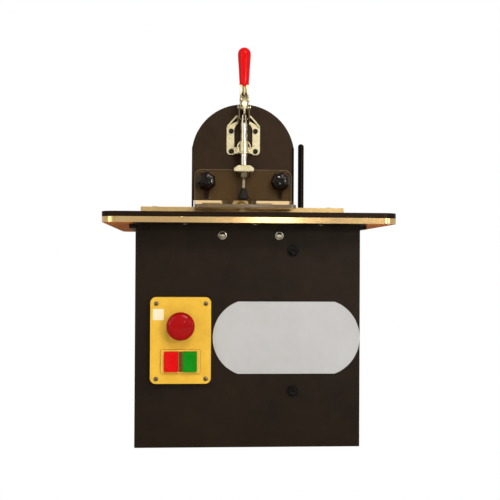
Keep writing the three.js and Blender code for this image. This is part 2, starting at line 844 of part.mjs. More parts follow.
// One folded base plate of the clamp: a flange on the bracket and an ear beside the handle
function clampBase(name, side) {
  const earInner = handle.width / 2 + gap;
  const earOuter = earInner + clamp.earThickness;
  const outer = clamp.baseWidth / 2;
  const lower = clampZ;
  const flangeFront = clampBack - clamp.baseThickness;
  const flangeShape = new THREE.Shape();
  const bow = Math.acos(earInner / clamp.archRadius);
  const peak = lower + clamp.baseInnerHeight;
  const shoulder = lower + clamp.baseSideHeight;
  flangeShape.absarc(0, lower + clamp.archHeight, clamp.archRadius, bow, 0, true);
  flangeShape.lineTo(clamp.archRadius, lower);
  const corner = clamp.baseRadius;
  flangeShape.lineTo(outer - corner, lower);
  flangeShape.absarc(outer - corner, lower + corner, corner, -Math.PI / 2, 0, false);
  flangeShape.lineTo(outer, shoulder);
  flangeShape.lineTo(clamp.basePeak, peak);
  flangeShape.lineTo(earInner, peak);
  const slope = (peak - shoulder) / (outer - clamp.basePeak);
  const rimDrop = clamp.windowRim * Math.hypot(1, slope);
  const windowX = earOuter + gap;
  const windowTop = peak - slope * (windowX - clamp.basePeak) - rimDrop;
  const windowFoot = lower + clamp.earBottom + clamp.windowBand;
  const tipX = outer - (lower + clamp.windowTip + rimDrop - shoulder) / slope;
  const windowShape = polygon([
    [windowX, windowFoot],
    [tipX, lower + clamp.windowTip],
    [windowX, windowTop],
  ]);
  const earShape = new THREE.Shape();
  const radius = clamp.earTopRadius;
  earShape.moveTo(clampBack, lower + clamp.earBottom);
  earShape.lineTo(clampBack, peak);
  earShape.absarc(clampY, pivotZ, radius, Math.PI / 4, Math.PI, false);
  earShape.lineTo(clampY - clamp.earFront, lower + clamp.earBottom + clamp.earFront);
  earShape.lineTo(clampY, lower + clamp.earBottom);
  const bore = rodX(clamp.pinDiameter / 2 + gap, earInner - overrun, earOuter + overrun, clampY, pivotZ);
  const [holeFront, holeBack] = [flangeFront - overrun, clampBack + overrun];
  const holes = clampScrewPlaces().map(({ x, z }) =>
    rodY(clampScrew.shank / 2 + gap, Math.abs(x), holeFront, holeBack, z, roundSides / 2),
  );
  const window = frontSlab(windowShape, holeFront, holeBack);
  const flange = cut(frontSlab(flangeShape, flangeFront, clampBack), window);
  const ear = sideSlab(earShape, earInner, earOuter);
  const right = cut(join(flange, ear), bore, ...holes);
  return piece(name, side > 0 ? right : right.mirror([1, 0, 0]), zincPlate);
}

// Barrel that guides the plunger, with a foot ring, an arched web behind it and two lugs to the base
function clampBarrel() {
  const foot = clampZ + barrel.start;
  const top = foot + barrel.length;
  const tube = rodZ(barrel.diameter / 2, 0, clampY, foot, top);
  const ring = rodZ(barrel.footDiameter / 2, 0, clampY, foot, foot + barrel.footHeight);
  const arch = new THREE.Shape();
  const archZ = foot + barrel.archCentre;
  arch.absarc(0, archZ, barrel.archDiameter / 2, 0, Math.PI, false);
  arch.absarc(0, archZ, barrel.archDiameter / 2 - barrel.archBand, Math.PI, 0, true);
  const web = frontSlab(arch, clampY - barrel.archDepth / 2, clampY + barrel.archDepth / 2, domeSteps);
  const lugFoot = clampZ + barrel.lugStart;
  const lugBack = clampBack - clamp.baseThickness - gap;
  const halfLug = barrel.lugWidth / 2;
  const lug = block(-halfLug, halfLug, clampY, lugBack, lugFoot, lugFoot + barrel.lugHeight);
  const bore = rodZ(plunger.diameter / 2 + gap, 0, clampY, foot - overrun, top + overrun);
  return piece('clamp_barrel', cut(join(tube, ring, web, lug), bore), zincPlate);
}

const plungerPinZ = clampZ + plunger.pinHeight;

function clampPlunger() {
  const top = clampZ + plunger.top;
  const foot = clampZ + plunger.bottom;
  const halfFork = plunger.forkWidth / 2;
  const radius = plunger.diameter / 2;
  const body = rodZ(radius, 0, clampY, foot, top);
  const fork = block(
    -halfFork,
    halfFork,
    clampY - radius - overrun,
    clampY + radius + overrun,
    top - plunger.forkDepth,
    top + overrun,
  );
  const reach = radius + overrun;
  const pinRadius = plunger.pinDiameter / 2;
  const halfPin = plunger.pinLength / 2;
  const bore = rodX(pinRadius + gap, -reach, reach, clampY, plungerPinZ, roundSides / 2);
  const pin = rodX(pinRadius, -halfPin, halfPin, clampY, plungerPinZ, roundSides / 2);
  return [piece('clamp_plunger', cut(body, fork, bore), brightSteel), piece('plunger_pin', pin, brightSteel)];
}

// Where the handle's crank holds the link at rest
const crankAngle = handle.crankAngleDegrees * degree;
const crankY = clampY - handle.crank * Math.sin(crankAngle);
const crankZ = pivotZ + handle.crank * Math.cos(crankAngle);

// Curved link from the plunger's pin up to the handle's crank, drawn upright and then leaned forward
function clampLink() {
  const length = Math.hypot(crankY - clampY, crankZ - plungerPinZ);
  const lean = Math.atan2(clampY - crankY, crankZ - plungerPinZ);
  const bendRadius = ((length / 2) ** 2 + link.sagitta ** 2) / (2 * link.sagitta);
  const centre = [bendRadius - link.sagitta, length / 2];
  const spread = Math.asin(length / 2 / bendRadius);
  const half = link.width / 2;
  const shape = new THREE.Shape();
  shape.absarc(...centre, bendRadius + half, Math.PI + spread, Math.PI - spread, true);
  shape.absarc(0, length, half, Math.PI - spread, -spread, true);
  shape.absarc(...centre, bendRadius - half, Math.PI - spread, Math.PI + spread, false);
  shape.absarc(0, 0, half, spread, spread - Math.PI, true);
  const halfThick = link.thickness / 2;
  const halfHead = link.headWidth / 2;
  const deep = link.width + link.sagitta;
  const headRoom = block(-halfHead, halfHead, -deep, deep, length - link.headLength, length + link.width);
  const head = sideSlab(shape, -halfHead, halfHead).intersect(headRoom);
  const body = join(sideSlab(shape, -halfThick, halfThick), head);
  const reach = halfHead + overrun;
  const eyeRadius = plunger.pinDiameter / 2 + gap;
  const eyes = [0, length].map((z) => rodX(eyeRadius, -reach, reach, 0, z, roundSides / 2));
  const leaned = cut(body, ...eyes).rotate([lean / degree, 0, 0]);
  return piece('clamp_link', moved(leaned, 0, clampY, plungerPinZ), zincPlate);
}

// Handle: two plates on the pivot pin, joined above it, with a tang for the grip
function clampHandle() {
  const half = handle.width / 2;
  const inner = half - handle.plateThickness;
  const radius = handle.footRadius;
  const neck = handle.neckDepth / 2;
  const gripStart = pivotZ + grip.start;
  const shape = new THREE.Shape();
  shape.moveTo(clampY + radius, pivotZ);
  shape.lineTo(clampY + neck, pivotZ + handle.backStart);
  shape.lineTo(clampY + neck, gripStart - gap);
  shape.lineTo(clampY - neck, gripStart - gap);
  shape.lineTo(clampY - neck, pivotZ + handle.webStart);
  shape.absarc(crankY, crankZ, handle.crankRadius, Math.PI - crankAngle, Math.PI, false);
  shape.lineTo(clampY - radius, pivotZ);
  shape.absarc(clampY, pivotZ, radius, Math.PI, Math.PI * 2, false);
  const plates = [sideSlab(shape, -half, -inner), sideSlab(shape, inner, half)];
  const webTop = gripStart - gap;
  const web = block(-half, half, clampY - neck, clampY + neck, pivotZ + handle.webStart, webTop);
  const backY = clampY + neck - handle.backThickness;
  const back = block(-half, half, backY, clampY + neck, pivotZ + handle.backStart, webTop);
  const halfTang = handle.tangDepth / 2;
  const tangX = handle.tangWidth / 2;
  const tangTop = pivotZ + handle.tangEnd;
  const tang = block(-tangX, tangX, clampY - halfTang, clampY + halfTang, webTop - gap, tangTop);
  const rivets = [-1, 1].map((side) => {
    const ends = [inner + handle.rivetHeight, inner - handle.rivetHeight].map((x) => side * x);
    const [x0, x1] = [Math.min(...ends), Math.max(...ends)];
    return rodX(handle.rivetDiameter / 2, x0, x1, crankY, crankZ, roundSides / 2);
  });
  const bore = rodX(clamp.pinDiameter / 2 + gap, -half - overrun, half + overrun, clampY, pivotZ);
  return piece('clamp_handle', cut(join(...plates, web, back, tang, ...rivets), bore), zincPlate);
}

function handleGrip() {
  const foot = pivotZ + grip.start;
  const round = grip.length - grip.domeHeight;
  const top = dome(grip.topDiameter / 2, round, grip.domeHeight);
  const profile = [[0, 0], [grip.bottomDiameter / 2, 0], ...top];
  const body = moved(turned(profile), 0, clampY, foot);
  const tangX = handle.tangWidth / 2 + gap;
  const tangY = handle.tangDepth / 2 + gap;
  const tangTop = pivotZ + handle.tangEnd + gap;
  const room = block(-tangX, tangX, clampY - tangY, clampY + tangY, foot - overrun, tangTop);
  return piece('handle_grip', cut(body, room), redVinyl);
}

function handlePivotPin() {
  const face = handle.width / 2 + gap + clamp.earThickness + gap;
  const end = face + clamp.pinHeadHeight;
  const pin = rodX(clamp.pinDiameter / 2, -end, end, clampY, pivotZ, roundSides / 2);
  const headRadius = clamp.pinHeadDiameter / 2;
  const heads = [[-end, -face], [face, end]].map(([x0, x1]) => rodX(headRadius, x0, x1, clampY, pivotZ));
  return piece('handle_pivot_pin', join(pin, ...heads), brightSteel);
}

// Arm, lock nut, spindle and rubber tip under the plunger
function spindlePieces() {
  const armTop = clampZ + plunger.bottom - gap;
  const armFoot = armTop - spindle.armHeight;
  const halfArm = spindle.armWidth / 2;
  const shoulder = spindle.armShoulder;
  const halfTop = spindle.armTopWidth / 2;
  const armShape = polygon([
    [-halfArm, armFoot],
    [halfArm, armFoot],
    [halfArm, armTop - shoulder],
    [halfTop, armTop],
    [-halfTop, armTop],
    [-halfArm, armTop - shoulder],
  ]);
  const armY = spindle.armDepth / 2;
  const rodRadius = spindle.diameter / 2;
  const nutTop = armFoot - gap;
  const nutFoot = nutTop - spindle.nutHeight;
  const rodFoot = armTop - spindle.length;
  const arm = cut(
    frontSlab(armShape, clampY - armY, clampY + armY),
    rodZ(rodRadius + gap, 0, clampY, armFoot - overrun, armTop + overrun, roundSides / 2),
  );
  const nut = cut(
    rodZ(spindle.nutWidth / 2, 0, clampY, nutFoot, nutTop, hexSides),
    rodZ(rodRadius + gap, 0, clampY, nutFoot - overrun, nutTop + overrun, roundSides / 2),
  );
  const rod = rodZ(rodRadius, 0, clampY, rodFoot, armTop - gap, roundSides / 2);
  const tipTop = rodFoot + spindle.tipBore;
  const tipFoot = tipTop - spindle.tipHeight;
  const tipProfile = [
    [0, 0],
    [spindle.tipDiameter / 2, 0],
    [spindle.tipDiameter / 2, spindle.tipSkirt],
    [spindle.tipTopDiameter / 2, spindle.tipHeight],
    [0, spindle.tipHeight],
  ];
  const tip = cut(
    moved(turned(tipProfile), 0, clampY, tipFoot),
    rodZ(rodRadius + gap, 0, clampY, rodFoot - gap, tipTop + overrun, roundSides / 2),
  );
  return [
    piece('spindle_arm', arm, zincPlate),
    piece('spindle_nut', nut, zincPlate),
    piece('spindle_rod', rod, brightSteel),
    piece('spindle_tip', tip, blackRubber),
  ];
}

// Yellow control station with its contact block behind the panel
function stationPieces() {
  const x = station.centreX;
  const back = panelFront - gap;
  const front = back - station.depth;
  const halfWidth = station.width / 2;
  const halfHeight = station.height / 2;
  const face = roundedRectangle(
    x - halfWidth,
    x + halfWidth,
    station.centreZ - halfHeight,
    station.centreZ + halfHeight,
    station.cornerRadius,
  );
  const windowFront = front - gap - buttons.bezelDepth - overrun;
  const windows = buttonCentres().map((centre) => {
    const w = buttons.width / 2 + gap;
    const h = buttons.height / 2 + gap;
    return block(centre - w, centre + w, windowFront, back + overrun, buttons.z - h, buttons.z + h);
  });
  const stemBore = rodY(stop.stem / 2 + gap, x, front - overrun, back + overrun, stop.z);
  const cover = cut(frontSlab(face, front, back), stemBore, ...windows);
  const bezelBack = front - gap;
  const bezelFront = bezelBack - buttons.bezelDepth;
  const w = buttons.bezelWidth / 2;
  const h = buttons.bezelHeight / 2;
  const bezelShape = roundedRectangle(x - w, x + w, buttons.z - h, buttons.z + h, buttons.bezelRadius);
  const bezel = cut(frontSlab(bezelShape, bezelFront, bezelBack), ...windows);
  const blockFront = panelBack + gap;
  const halfBlock = station.blockWidth / 2;
  const blockBack = blockFront + station.blockDepth;
  const blockFoot = station.centreZ - station.blockHeight / 2;
  const contacts = cut(
    block(x - halfBlock, x + halfBlock, blockFront, blockBack, blockFoot, blockFoot + station.blockHeight),
    rodY(stop.stem / 2 + gap, x, blockFront - overrun, blockFront + station.blockBore, stop.z),
    ...buttonCentres().map((centre) =>
      rodY(buttons.stem / 2 + gap, centre, blockFront - overrun, blockFront + station.blockBore, buttons.z),
    ),
  );
  return [
    piece('station_cover', cover, yellowPaint),
    piece('button_bezel', bezel, brownPlastic),
    piece('contact_block', contacts, blackPlastic),
    emergencyStop(front),
    pushButton('stop_button', buttonCentres()[0], bezelFront, redPlastic),
    pushButton('start_button', buttonCentres()[1], bezelFront, greenPlastic),
  ];
}

function emergencyStop(coverFront) {
  const headBack = coverFront - stop.headStand;
  const radius = stop.headDiameter / 2;
  const rim = stop.headHeight / 2;
  const head = turned([[0, 0], [radius, 0], ...dome(radius, rim, stop.headHeight - rim)]).rotate([90, 0, 0]);
  const stem = rodY(stop.stem / 2, station.centreX, headBack - gap, panelBack + stop.stemEnd, stop.z);
  return piece('estop_button', join(moved(head, station.centreX, headBack, stop.z), stem), redPlastic);
}

function pushButton(name, x, bezelFront, material) {
  const front = bezelFront - buttons.proud;
  const back = front + buttons.depth;
  const w = buttons.width / 2;
  const h = buttons.height / 2;
  const cap = block(x - w, x + w, front, back, buttons.z - h, buttons.z + h);
  const stem = rodY(buttons.stem / 2, x, back - gap, panelBack + buttons.stemEnd, buttons.z, roundSides / 2);
  return piece(name, join(cap, stem), material);
}

// Bare grey plate with bowed ends
function badgePlate() {
  const halfWidth = badge.width / 2;
  const halfHeight = badge.height / 2;
  const bow = (badge.width - badge.straight) / 2;
  const radius = (bow ** 2 + halfHeight ** 2) / (2 * bow);
  const spread = Math.asin(halfHeight / radius);
  const centreX = station.centreX + station.width / 2 + badge.fromStation + halfWidth;
  const { centreZ } = badge;
  const shape = new THREE.Shape();
  shape.absarc(centreX + halfWidth - radius, centreZ, radius, -spread, spread, false);
  shape.absarc(centreX - halfWidth + radius, centreZ, radius, Math.PI - spread, Math.PI + spread, false);
  const back = panelFront - gap;
  return piece('badge_plate', frontSlab(shape, back - badge.thickness, back, badgeSegments), greyPlate);
}

// Swing unit on the cross shaft
function swingPieces() {
  const shaftRadius = swing.shaft / 2;
  const wall = cabinet.width / 2 - cabinet.sheet - gap;
  const bearingInner = wall - swing.bearingThickness;
  const shaftEnd = wall - gap;
  const bore = (x0, x1) => rodX(shaftRadius + gap, x0, x1, shaftY, shaftZ);
  const bearingAt = (x0, x1) =>
    cut(rodX(swing.bearingDiameter / 2, x0, x1, shaftY, shaftZ), bore(x0 - overrun, x1 + overrun));
  return [
    piece('shaft_bearing_left', bearingAt(-wall, -bearingInner), brightSteel),
    piece('shaft_bearing_right', bearingAt(bearingInner, wall), brightSteel),
    piece('pivot_shaft', rodX(shaftRadius, -shaftEnd, shaftEnd, shaftY, shaftZ), brightSteel),
    piece('lever', leverSolid(bore), blackSteel),
    piece('swing_arm', swingArmSolid(bore), aluminium),
    ...routerPieces(),
    piece('drive_arm', driveArmSolid(bore), aluminium),
  ];
}

// Round-ended lever with a hub on the shaft
function leverSolid(bore) {
  const radius = lever.diameter / 2;
  const halfHub = lever.hubLength / 2;
  const top = tableTop + lever.height - shaftZ;
  const profile = [[0, 0], [radius, 0], ...dome(radius, top - radius, radius)];
  const stick = moved(turned(profile, roundSides / 2), lever.x, shaftY, shaftZ);
  const hub = rodX(lever.hubDiameter / 2, lever.x - halfHub, lever.x + halfHub, shaftY, shaftZ);
  return cut(join(stick, hub), bore(lever.x - halfHub - overrun, lever.x + halfHub + overrun));
}

// Arm from the shaft forward to a ring round the router motor
function swingArmSolid(bore) {
  const halfBoss = arm.bossLength / 2;
  const halfWidth = arm.width / 2;
  const halfHeight = arm.height / 2;
  const room = router.diameter / 2 + gap;
  const ring = rodZ(room + arm.ringWall, 0, routerY, shaftZ - halfHeight, shaftZ + halfHeight);
  const beam = block(-halfWidth, halfWidth, routerY, shaftY, shaftZ - halfHeight, shaftZ + halfHeight);
  const boss = rodX(arm.bossDiameter / 2, -halfBoss, halfBoss, shaftY, shaftZ);
  const motorRoom = rodZ(room, 0, routerY, shaftZ - arm.height, shaftZ + arm.height);
  return cut(join(ring, beam, boss), motorRoom, bore(-halfBoss - overrun, halfBoss + overrun));
}

function routerPieces() {
  const top = shaftZ + router.top;
  const foot = top - router.length;
  const radius = router.diameter / 2;
  const neckTop = top + router.neckLength;
  const neckRadius = router.neckDiameter / 2;
  const shankRadius = router.shank / 2;
  const profile = [
    [0, 0],
    [radius - router.capHeight, 0],
    [radius, router.capHeight],
    [radius, router.length - router.capHeight],
    [radius - router.capHeight, router.length],
    [neckRadius, router.length],
    [neckRadius, router.length + router.neckLength],
    [0, router.length + router.neckLength],
  ];
  const shankFoot = neckTop - router.socketDepth;
  const bitTop = shaftZ + router.bitTop;
  const motor = cut(
    moved(turned(profile), 0, routerY, foot),
    rodZ(shankRadius + gap, 0, routerY, shankFoot, neckTop + overrun, roundSides / 2),
  );
  const bit = join(
    rodZ(shankRadius, 0, routerY, shankFoot + gap, neckTop + router.socketDepth, roundSides / 2),
    rodZ(router.bit / 2, 0, routerY, neckTop + router.socketDepth - gap, bitTop, roundSides / 2),
  );
  return [piece('router_motor', motor, blackPlastic), piece('pocket_cutter', bit, brightSteel)];
}

// Arm that pushes the drill saddle's tongue: a fork with an open slot round the tongue's pin
function driveArmSolid(bore) {
  const inner = drive.tongueX + drive.tongueWidth / 2 + gap;
  const outer = inner + drive.armThickness;
  const half = drive.armWidth / 2;
  const slotHalf = drive.slotWidth / 2;
  const slotTop = tonguePinZ + drive.slotHeight / 2;
  const plate = polygon([
    [shaftY - half, shaftZ],
    [shaftY + half, shaftZ],
    [tongueY + half, tonguePinZ],
    [tongueY + half, slotTop],
    [tongueY - half, slotTop],
    [tongueY - half, tonguePinZ],
  ]);
  const slot = block(
    inner - overrun,
    outer + overrun,
    tongueY - slotHalf,
    tongueY + slotHalf,
    tonguePinZ - drive.slotHeight / 2,
    slotTop + overrun,
  );
  const hub = rodX(drive.armHub / 2, inner - drive.armThickness, outer, shaftY, shaftZ);
  return cut(join(sideSlab(plate, inner, outer), hub), slot, bore(inner - drive.armHub, outer + overrun));
}

// Pilot drill, built level along +Y from the fence face and then tilted into place
function tilted(solid) {
  return moved(solid.rotate([drill.tiltDegrees, 0, 0]), 0, fenceFace, drillZ);
}

// A turned piece along the drill's axis; the profile runs backward from its front end
function turnedAlongDrill(profile) {
  return turned(profile).rotate([-90, 0, 0]);
}

function drillPieces() {
  const motorRadius = drill.motor / 2;
  const neckRadius = drill.neck / 2;
  const rounded = drill.motorDome;
  const motorProfile = [
    [0, drill.motorFront],
    [motorRadius - drill.neckSocket, drill.motorFront],
    [motorRadius, drill.motorFront + drill.neckSocket],
    [motorRadius, drill.motorBack - rounded],
    [motorRadius - rounded, drill.motorBack],
    [0, drill.motorBack],
  ];
  const socketEnd = drill.motorFront + drill.neckSocket;
  const motor = cut(
    turnedAlongDrill(motorProfile),
    rodY(neckRadius + gap, 0, drill.motorFront - overrun, socketEnd + gap, 0),
  );
  const bitRadius = drill.bit / 2;
  const noseRadius = drill.chuckNoseDiameter / 2;
  const chuckRadius = drill.chuck / 2;
  const bitProfile = [
    [0, drill.tip],
    [bitRadius, drill.tip + drill.tipLength],
    [bitRadius, drill.chuckNose],
    [noseRadius, drill.chuckNose],
    [chuckRadius, drill.chuckNose + drill.chuckFlare],
    [chuckRadius, drill.chuckEnd],
    [neckRadius, drill.chuckEnd],
    [neckRadius, socketEnd],
    [0, socketEnd],
  ];
  return [
    piece('drill_motor', tilted(motor), blackPlastic),
    piece('drill_chuck', tilted(turnedAlongDrill(bitProfile)), brightSteel),
    piece('drill_saddle', saddleSolid(), aluminium),
    ...railPieces(),
  ];
}

function railRods(radius, y0, y1) {
  const centres = [-rail.spacing / 2, rail.spacing / 2];
  return centres.map((x) => tilted(rodY(radius, x, y0, y1, -rail.drop, roundSides / 2)));
}

// Saddle round the drill motor, with wings on the rails and a tongue down through the table
function saddleSolid() {
  const half = saddle.width / 2;
  const wing = saddle.wingWidth / 2;
  const body = tilted(block(-half, half, saddle.front, saddle.back, saddle.bottom, saddle.top));
  const wings = tilted(block(-wing, wing, saddle.front, saddle.back, saddle.wingBottom, saddle.wingTop));
  const tongueX0 = drive.tongueX - drive.tongueWidth / 2;
  const tongueX1 = drive.tongueX + drive.tongueWidth / 2;
  const tongueHalf = drive.tongueDepth / 2;
  const tongueTop = drillZ + (tongueY - fenceFace) * Math.tan(drillTilt) - rail.drop;
  const tongue = block(
    tongueX0,
    tongueX1,
    tongueY - tongueHalf,
    tongueY + tongueHalf,
    tonguePinZ - drive.tongueBelowPin,
    tongueTop,
  );
  const [pinStart, pinEnd] = [tongueX1 - gap, tongueX1 + drive.pinEnd];
  const pin = rodX(drive.pinDiameter / 2, pinStart, pinEnd, tongueY, tonguePinZ, roundSides / 2);
  const motorBore = tilted(rodY(drill.motor / 2 + gap, 0, saddle.front - overrun, saddle.back + overrun, 0));
  const railBores = railRods(rail.diameter / 2 + gap, saddle.front - overrun, saddle.back + overrun);
  return cut(join(body, wings, tongue, pin), motorBore, ...railBores);
}

function railPieces() {
  const bores = railRods(rail.diameter / 2 + gap, railBlock.front - overrun, railBlock.back + overrun);
  const foot = tableTop + gap;
  const half = railBlock.width / 2;
  const top = rail.diameter / 2 + railBlock.headroom - rail.drop;
  const deep = -drill.axisHeight - drill.motorBack;
  const tallest = tableTop + cabinet.height;
  const [before, behind] = [fenceFace - cabinet.depth, fenceFace + cabinet.depth];
  const underTable = block(-cabinet.width, cabinet.width, before, behind, tableTop - cabinet.height, foot);
  const halfNotch = railBlock.notchWidth / 2;
  const notch = block(-halfNotch, halfNotch, fenceFace, behind, tableTop + railBlock.floor, tallest);
  const blockAt = (y0) => {
    const raw = tilted(block(-half, half, y0, y0 + railBlock.thickness, deep, top));
    return cut(raw, underTable, notch, ...bores);
  };
  const rods = railRods(rail.diameter / 2, railBlock.front - rail.overhang, railBlock.back + rail.overhang);
  return [
    piece('rail_block_front', blockAt(railBlock.front), aluminium),
    piece('rail_block_rear', blockAt(railBlock.back - railBlock.thickness), aluminium),
    piece('drill_rail_left', rods[0], brightSteel),
    piece('drill_rail_right', rods[1], brightSteel),
  ];
}

const machine = new THREE.Group();
machine.add(
  ...cabinetPanels(),
  ...frontFrameAndScrews(),
  ...tablePieces(),
  fenceBar(),
  archedBracket(),
  guardShield(),
  starKnob('guard_knob_left', -1),
  starKnob('guard_knob_right', 1),
  clampBase('clamp_base_left', -1),
  clampBase('clamp_base_right', 1),
  clampBarrel(),
  ...clampPlunger(),
  clampLink(),
  clampHandle(),
  handleGrip(),
  handlePivotPin(),
  ...spindlePieces(),
  ...clampScrews(),
  ...stationPieces(),
  badgePlate(),
  ...swingPieces(),
  ...drillPieces(),
);

export default machine;
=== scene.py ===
"""Looks of the pocket hole machine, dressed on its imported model.

Pieces are drawn in millimetres, +Z up and -Y to the front, and placed in metres.
"""

import logging
import math
from dataclasses import dataclass
from enum import Enum
from functools import partial
from typing import Callable, Iterable, Optional, Sequence

import bmesh
import bpy
from mathutils import Matrix, Vector


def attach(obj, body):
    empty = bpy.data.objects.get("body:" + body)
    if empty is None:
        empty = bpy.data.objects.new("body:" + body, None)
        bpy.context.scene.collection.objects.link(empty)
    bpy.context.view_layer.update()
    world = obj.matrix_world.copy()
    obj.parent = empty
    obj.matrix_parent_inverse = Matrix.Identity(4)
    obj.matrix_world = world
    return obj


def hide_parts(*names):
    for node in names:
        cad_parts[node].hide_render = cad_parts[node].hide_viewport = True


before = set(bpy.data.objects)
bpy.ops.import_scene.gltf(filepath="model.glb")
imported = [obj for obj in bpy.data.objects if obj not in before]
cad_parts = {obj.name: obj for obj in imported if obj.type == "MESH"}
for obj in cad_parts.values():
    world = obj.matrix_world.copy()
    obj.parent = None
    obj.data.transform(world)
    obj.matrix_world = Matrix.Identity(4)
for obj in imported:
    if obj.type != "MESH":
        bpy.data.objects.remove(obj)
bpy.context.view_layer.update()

LOG = logging.getLogger("pocket_hole_machine")
MM = 0.001
FULL_TURN = 2 * math.pi
QUARTER = math.pi / 2
CREASE = 35.0  # degrees from which an edge stays sharp
FLAT = 0.5  # degrees up to which faces are one
SIDES = ((-1, "left"), (1, "right"))
CENTER = (0.0, 0.0, 0.0)
PAST = 9.0  # how far a cutter reaches past what it cuts

Point = tuple[float, float]
Triple = tuple[float, float, float]
Levels = tuple[int, int, int]  # red, green and blue, 0 to 255
Loop = list[Point]
Points = Sequence[Point]
Profile = tuple[Point, ...]
Mesh = bpy.types.Mesh
Socket = bpy.types.NodeSocket


class Plane(Enum):
    """Which way an outline faces: where X, Y and Z stand in (u, v, depth)."""

    FLOOR = (0, 1, 2)
    FRONT = (0, 2, 1)
    SIDE = (2, 0, 1)

    def at(self, u: float, v: float, depth: float) -> Vector:
        """Places an outline point at a depth."""
        return Vector([(u, v, depth)[index] for index in self.value])


class Axis(Enum):
    """The direction that a turned piece's profile runs along."""

    X = Matrix.Rotation(QUARTER, 3, "Y")
    BACK = Matrix.Rotation(-QUARTER, 3, "X")
    FORWARD = Matrix.Rotation(QUARTER, 3, "X")
    UP = Matrix.Identity(3)


def arc(center: Point, radius: float, start: float, end: float, steps: int) -> Loop:
    """Gives an arc's points from one angle to another, in radians."""
    angles = [start + (end - start) * i / steps for i in range(steps + 1)]
    return [(center[0] + radius * math.cos(a), center[1] + radius * math.sin(a)) for a in angles]


def circle(center: Point, radius: float, steps: int = 32) -> Loop:
    """Gives a closed circle's points, the last one not repeated."""
    return arc(center, radius, 0, FULL_TURN, steps)[:-1]


def rounded(points: Points, radii: Sequence[float], steps: int = 6) -> Loop:
    """Rounds the corners of a closed outline.

    Args:
        points: the corners in order.
        radii: one radius for each corner, 0 for a sharp one.
        steps: chords of each round corner.

    Returns:
        The outline with arcs at its corners.
    """
    outline: Loop = []
    for i, radius in enumerate(radii):
        here = Vector(points[i])
        if radius <= 0:
            outline.append(tuple(here))
            continue
        before = (Vector(points[i - 1]) - here).normalized()
        after = (Vector(points[(i + 1) % len(points)]) - here).normalized()
        half = before.angle(after) / 2
        reach = radius / math.tan(half)
        center = here + (before + after).normalized() * radius / math.sin(half)
        first = here + before * reach - center
        turn = first.angle_signed(here + after * reach - center)
        base = math.atan2(first.y, first.x)
        outline += arc(center, radius, base, base - turn, steps)
    return outline


def rectangle(low: Point, high: Point, radius: float = 0.0, steps: int = 6) -> Loop:
    """Gives a rectangle between two corners, anticlockwise, with round corners."""
    return rounded([low, (high[0], low[1]), high, (low[0], high[1])], [radius] * 4, steps)


def box(center: Point, half: Point, radius: float = 0.0, steps: int = 6) -> Loop:
    """Gives a rectangle about its centre, from its half width and half height."""
    (x, y), (w, h) = center, half
    return rectangle((x - w, y - h), (x + w, y + h), radius, steps)


def mesh_from(builder: bmesh.types.BMesh) -> Mesh:
    """Turns a finished bmesh into a mesh with outward faces.

    Args:
        builder: the bmesh, which is freed.

    Returns:
        The mesh.
    """
    bmesh.ops.remove_doubles(builder, verts=builder.verts, dist=1e-4)
    bmesh.ops.recalc_face_normals(builder, faces=builder.faces)
    mesh = bpy.data.meshes.new("part")
    builder.to_mesh(mesh)
    builder.free()
    return mesh


def slab(plane: Plane, loops: Sequence[Points], low: float, high: float) -> Mesh:
    """Gives an outline its depth.

    Args:
        plane: which way the outline faces.
        loops: the outer outline, then any holes.
        low: where the depth starts.
        high: where it ends.

    Returns:
        A closed mesh.
    """
    builder = bmesh.new()
    edges = []
    for loop in loops:
        verts = [builder.verts.new(plane.at(u, v, low)) for u, v in loop]
        edges += [builder.edges.new((verts[i - 1], verts[i])) for i in range(len(verts))]
    if len(loops) == 1:
        builder.faces.new([edge.verts[1] for edge in edges])
    else:
        bmesh.ops.triangle_fill(builder, edges=edges, use_beauty=True, use_dissolve=True)
    grown = bmesh.ops.extrude_face_region(builder, geom=list(builder.faces))
    moved = [item for item in grown["geom"] if isinstance(item, bmesh.types.BMVert)]
    shift = plane.at(0, 0, high) - plane.at(0, 0, low)
    bmesh.ops.translate(builder, verts=moved, vec=shift)
    return mesh_from(builder)


def turned(axis: Axis, origin: Sequence[float], profile: Points, sides: int = 48,
           wobble: Optional[Callable[[float, int], float]] = None) -> Mesh:
    """Turns a profile about an axis.

    Args:
        axis: the way the profile's heights run.
        origin: the point where the height is 0.
        profile: radius and height pairs; a radius of 0 closes an end.
        sides: sides of the turned piece.
        wobble: a factor for the radius from angle and profile index, for lobes and flutes.

    Returns:
        A closed mesh.
    """
    builder = bmesh.new()
    rings = []
    for index, (radius, height) in enumerate(profile):
        ring = []
        for side in range(sides if radius > 0 else 1):
            angle = FULL_TURN * side / sides
            reach = radius * (wobble(angle, index) if wobble else 1)
            spot = Vector((reach * math.cos(angle), reach * math.sin(angle), height))
            ring.append(builder.verts.new(Vector(origin) + axis.value @ spot))
        rings.append(ring)
    pairs = list(zip(rings, rings[1:]))
    if len(rings[0]) > 1 and len(rings[-1]) > 1:
        pairs.append((rings[-1], rings[0]))
    for lower, upper in pairs:
        for side in range(sides):
            corners = [ring[(side + step) % len(ring)] for ring, step in
                       ((lower, 0), (lower, 1), (upper, 1), (upper, 0))]
            corners = list(dict.fromkeys(corners))
            if len(corners) > 2:
                builder.faces.new(corners)
    return mesh_from(builder)


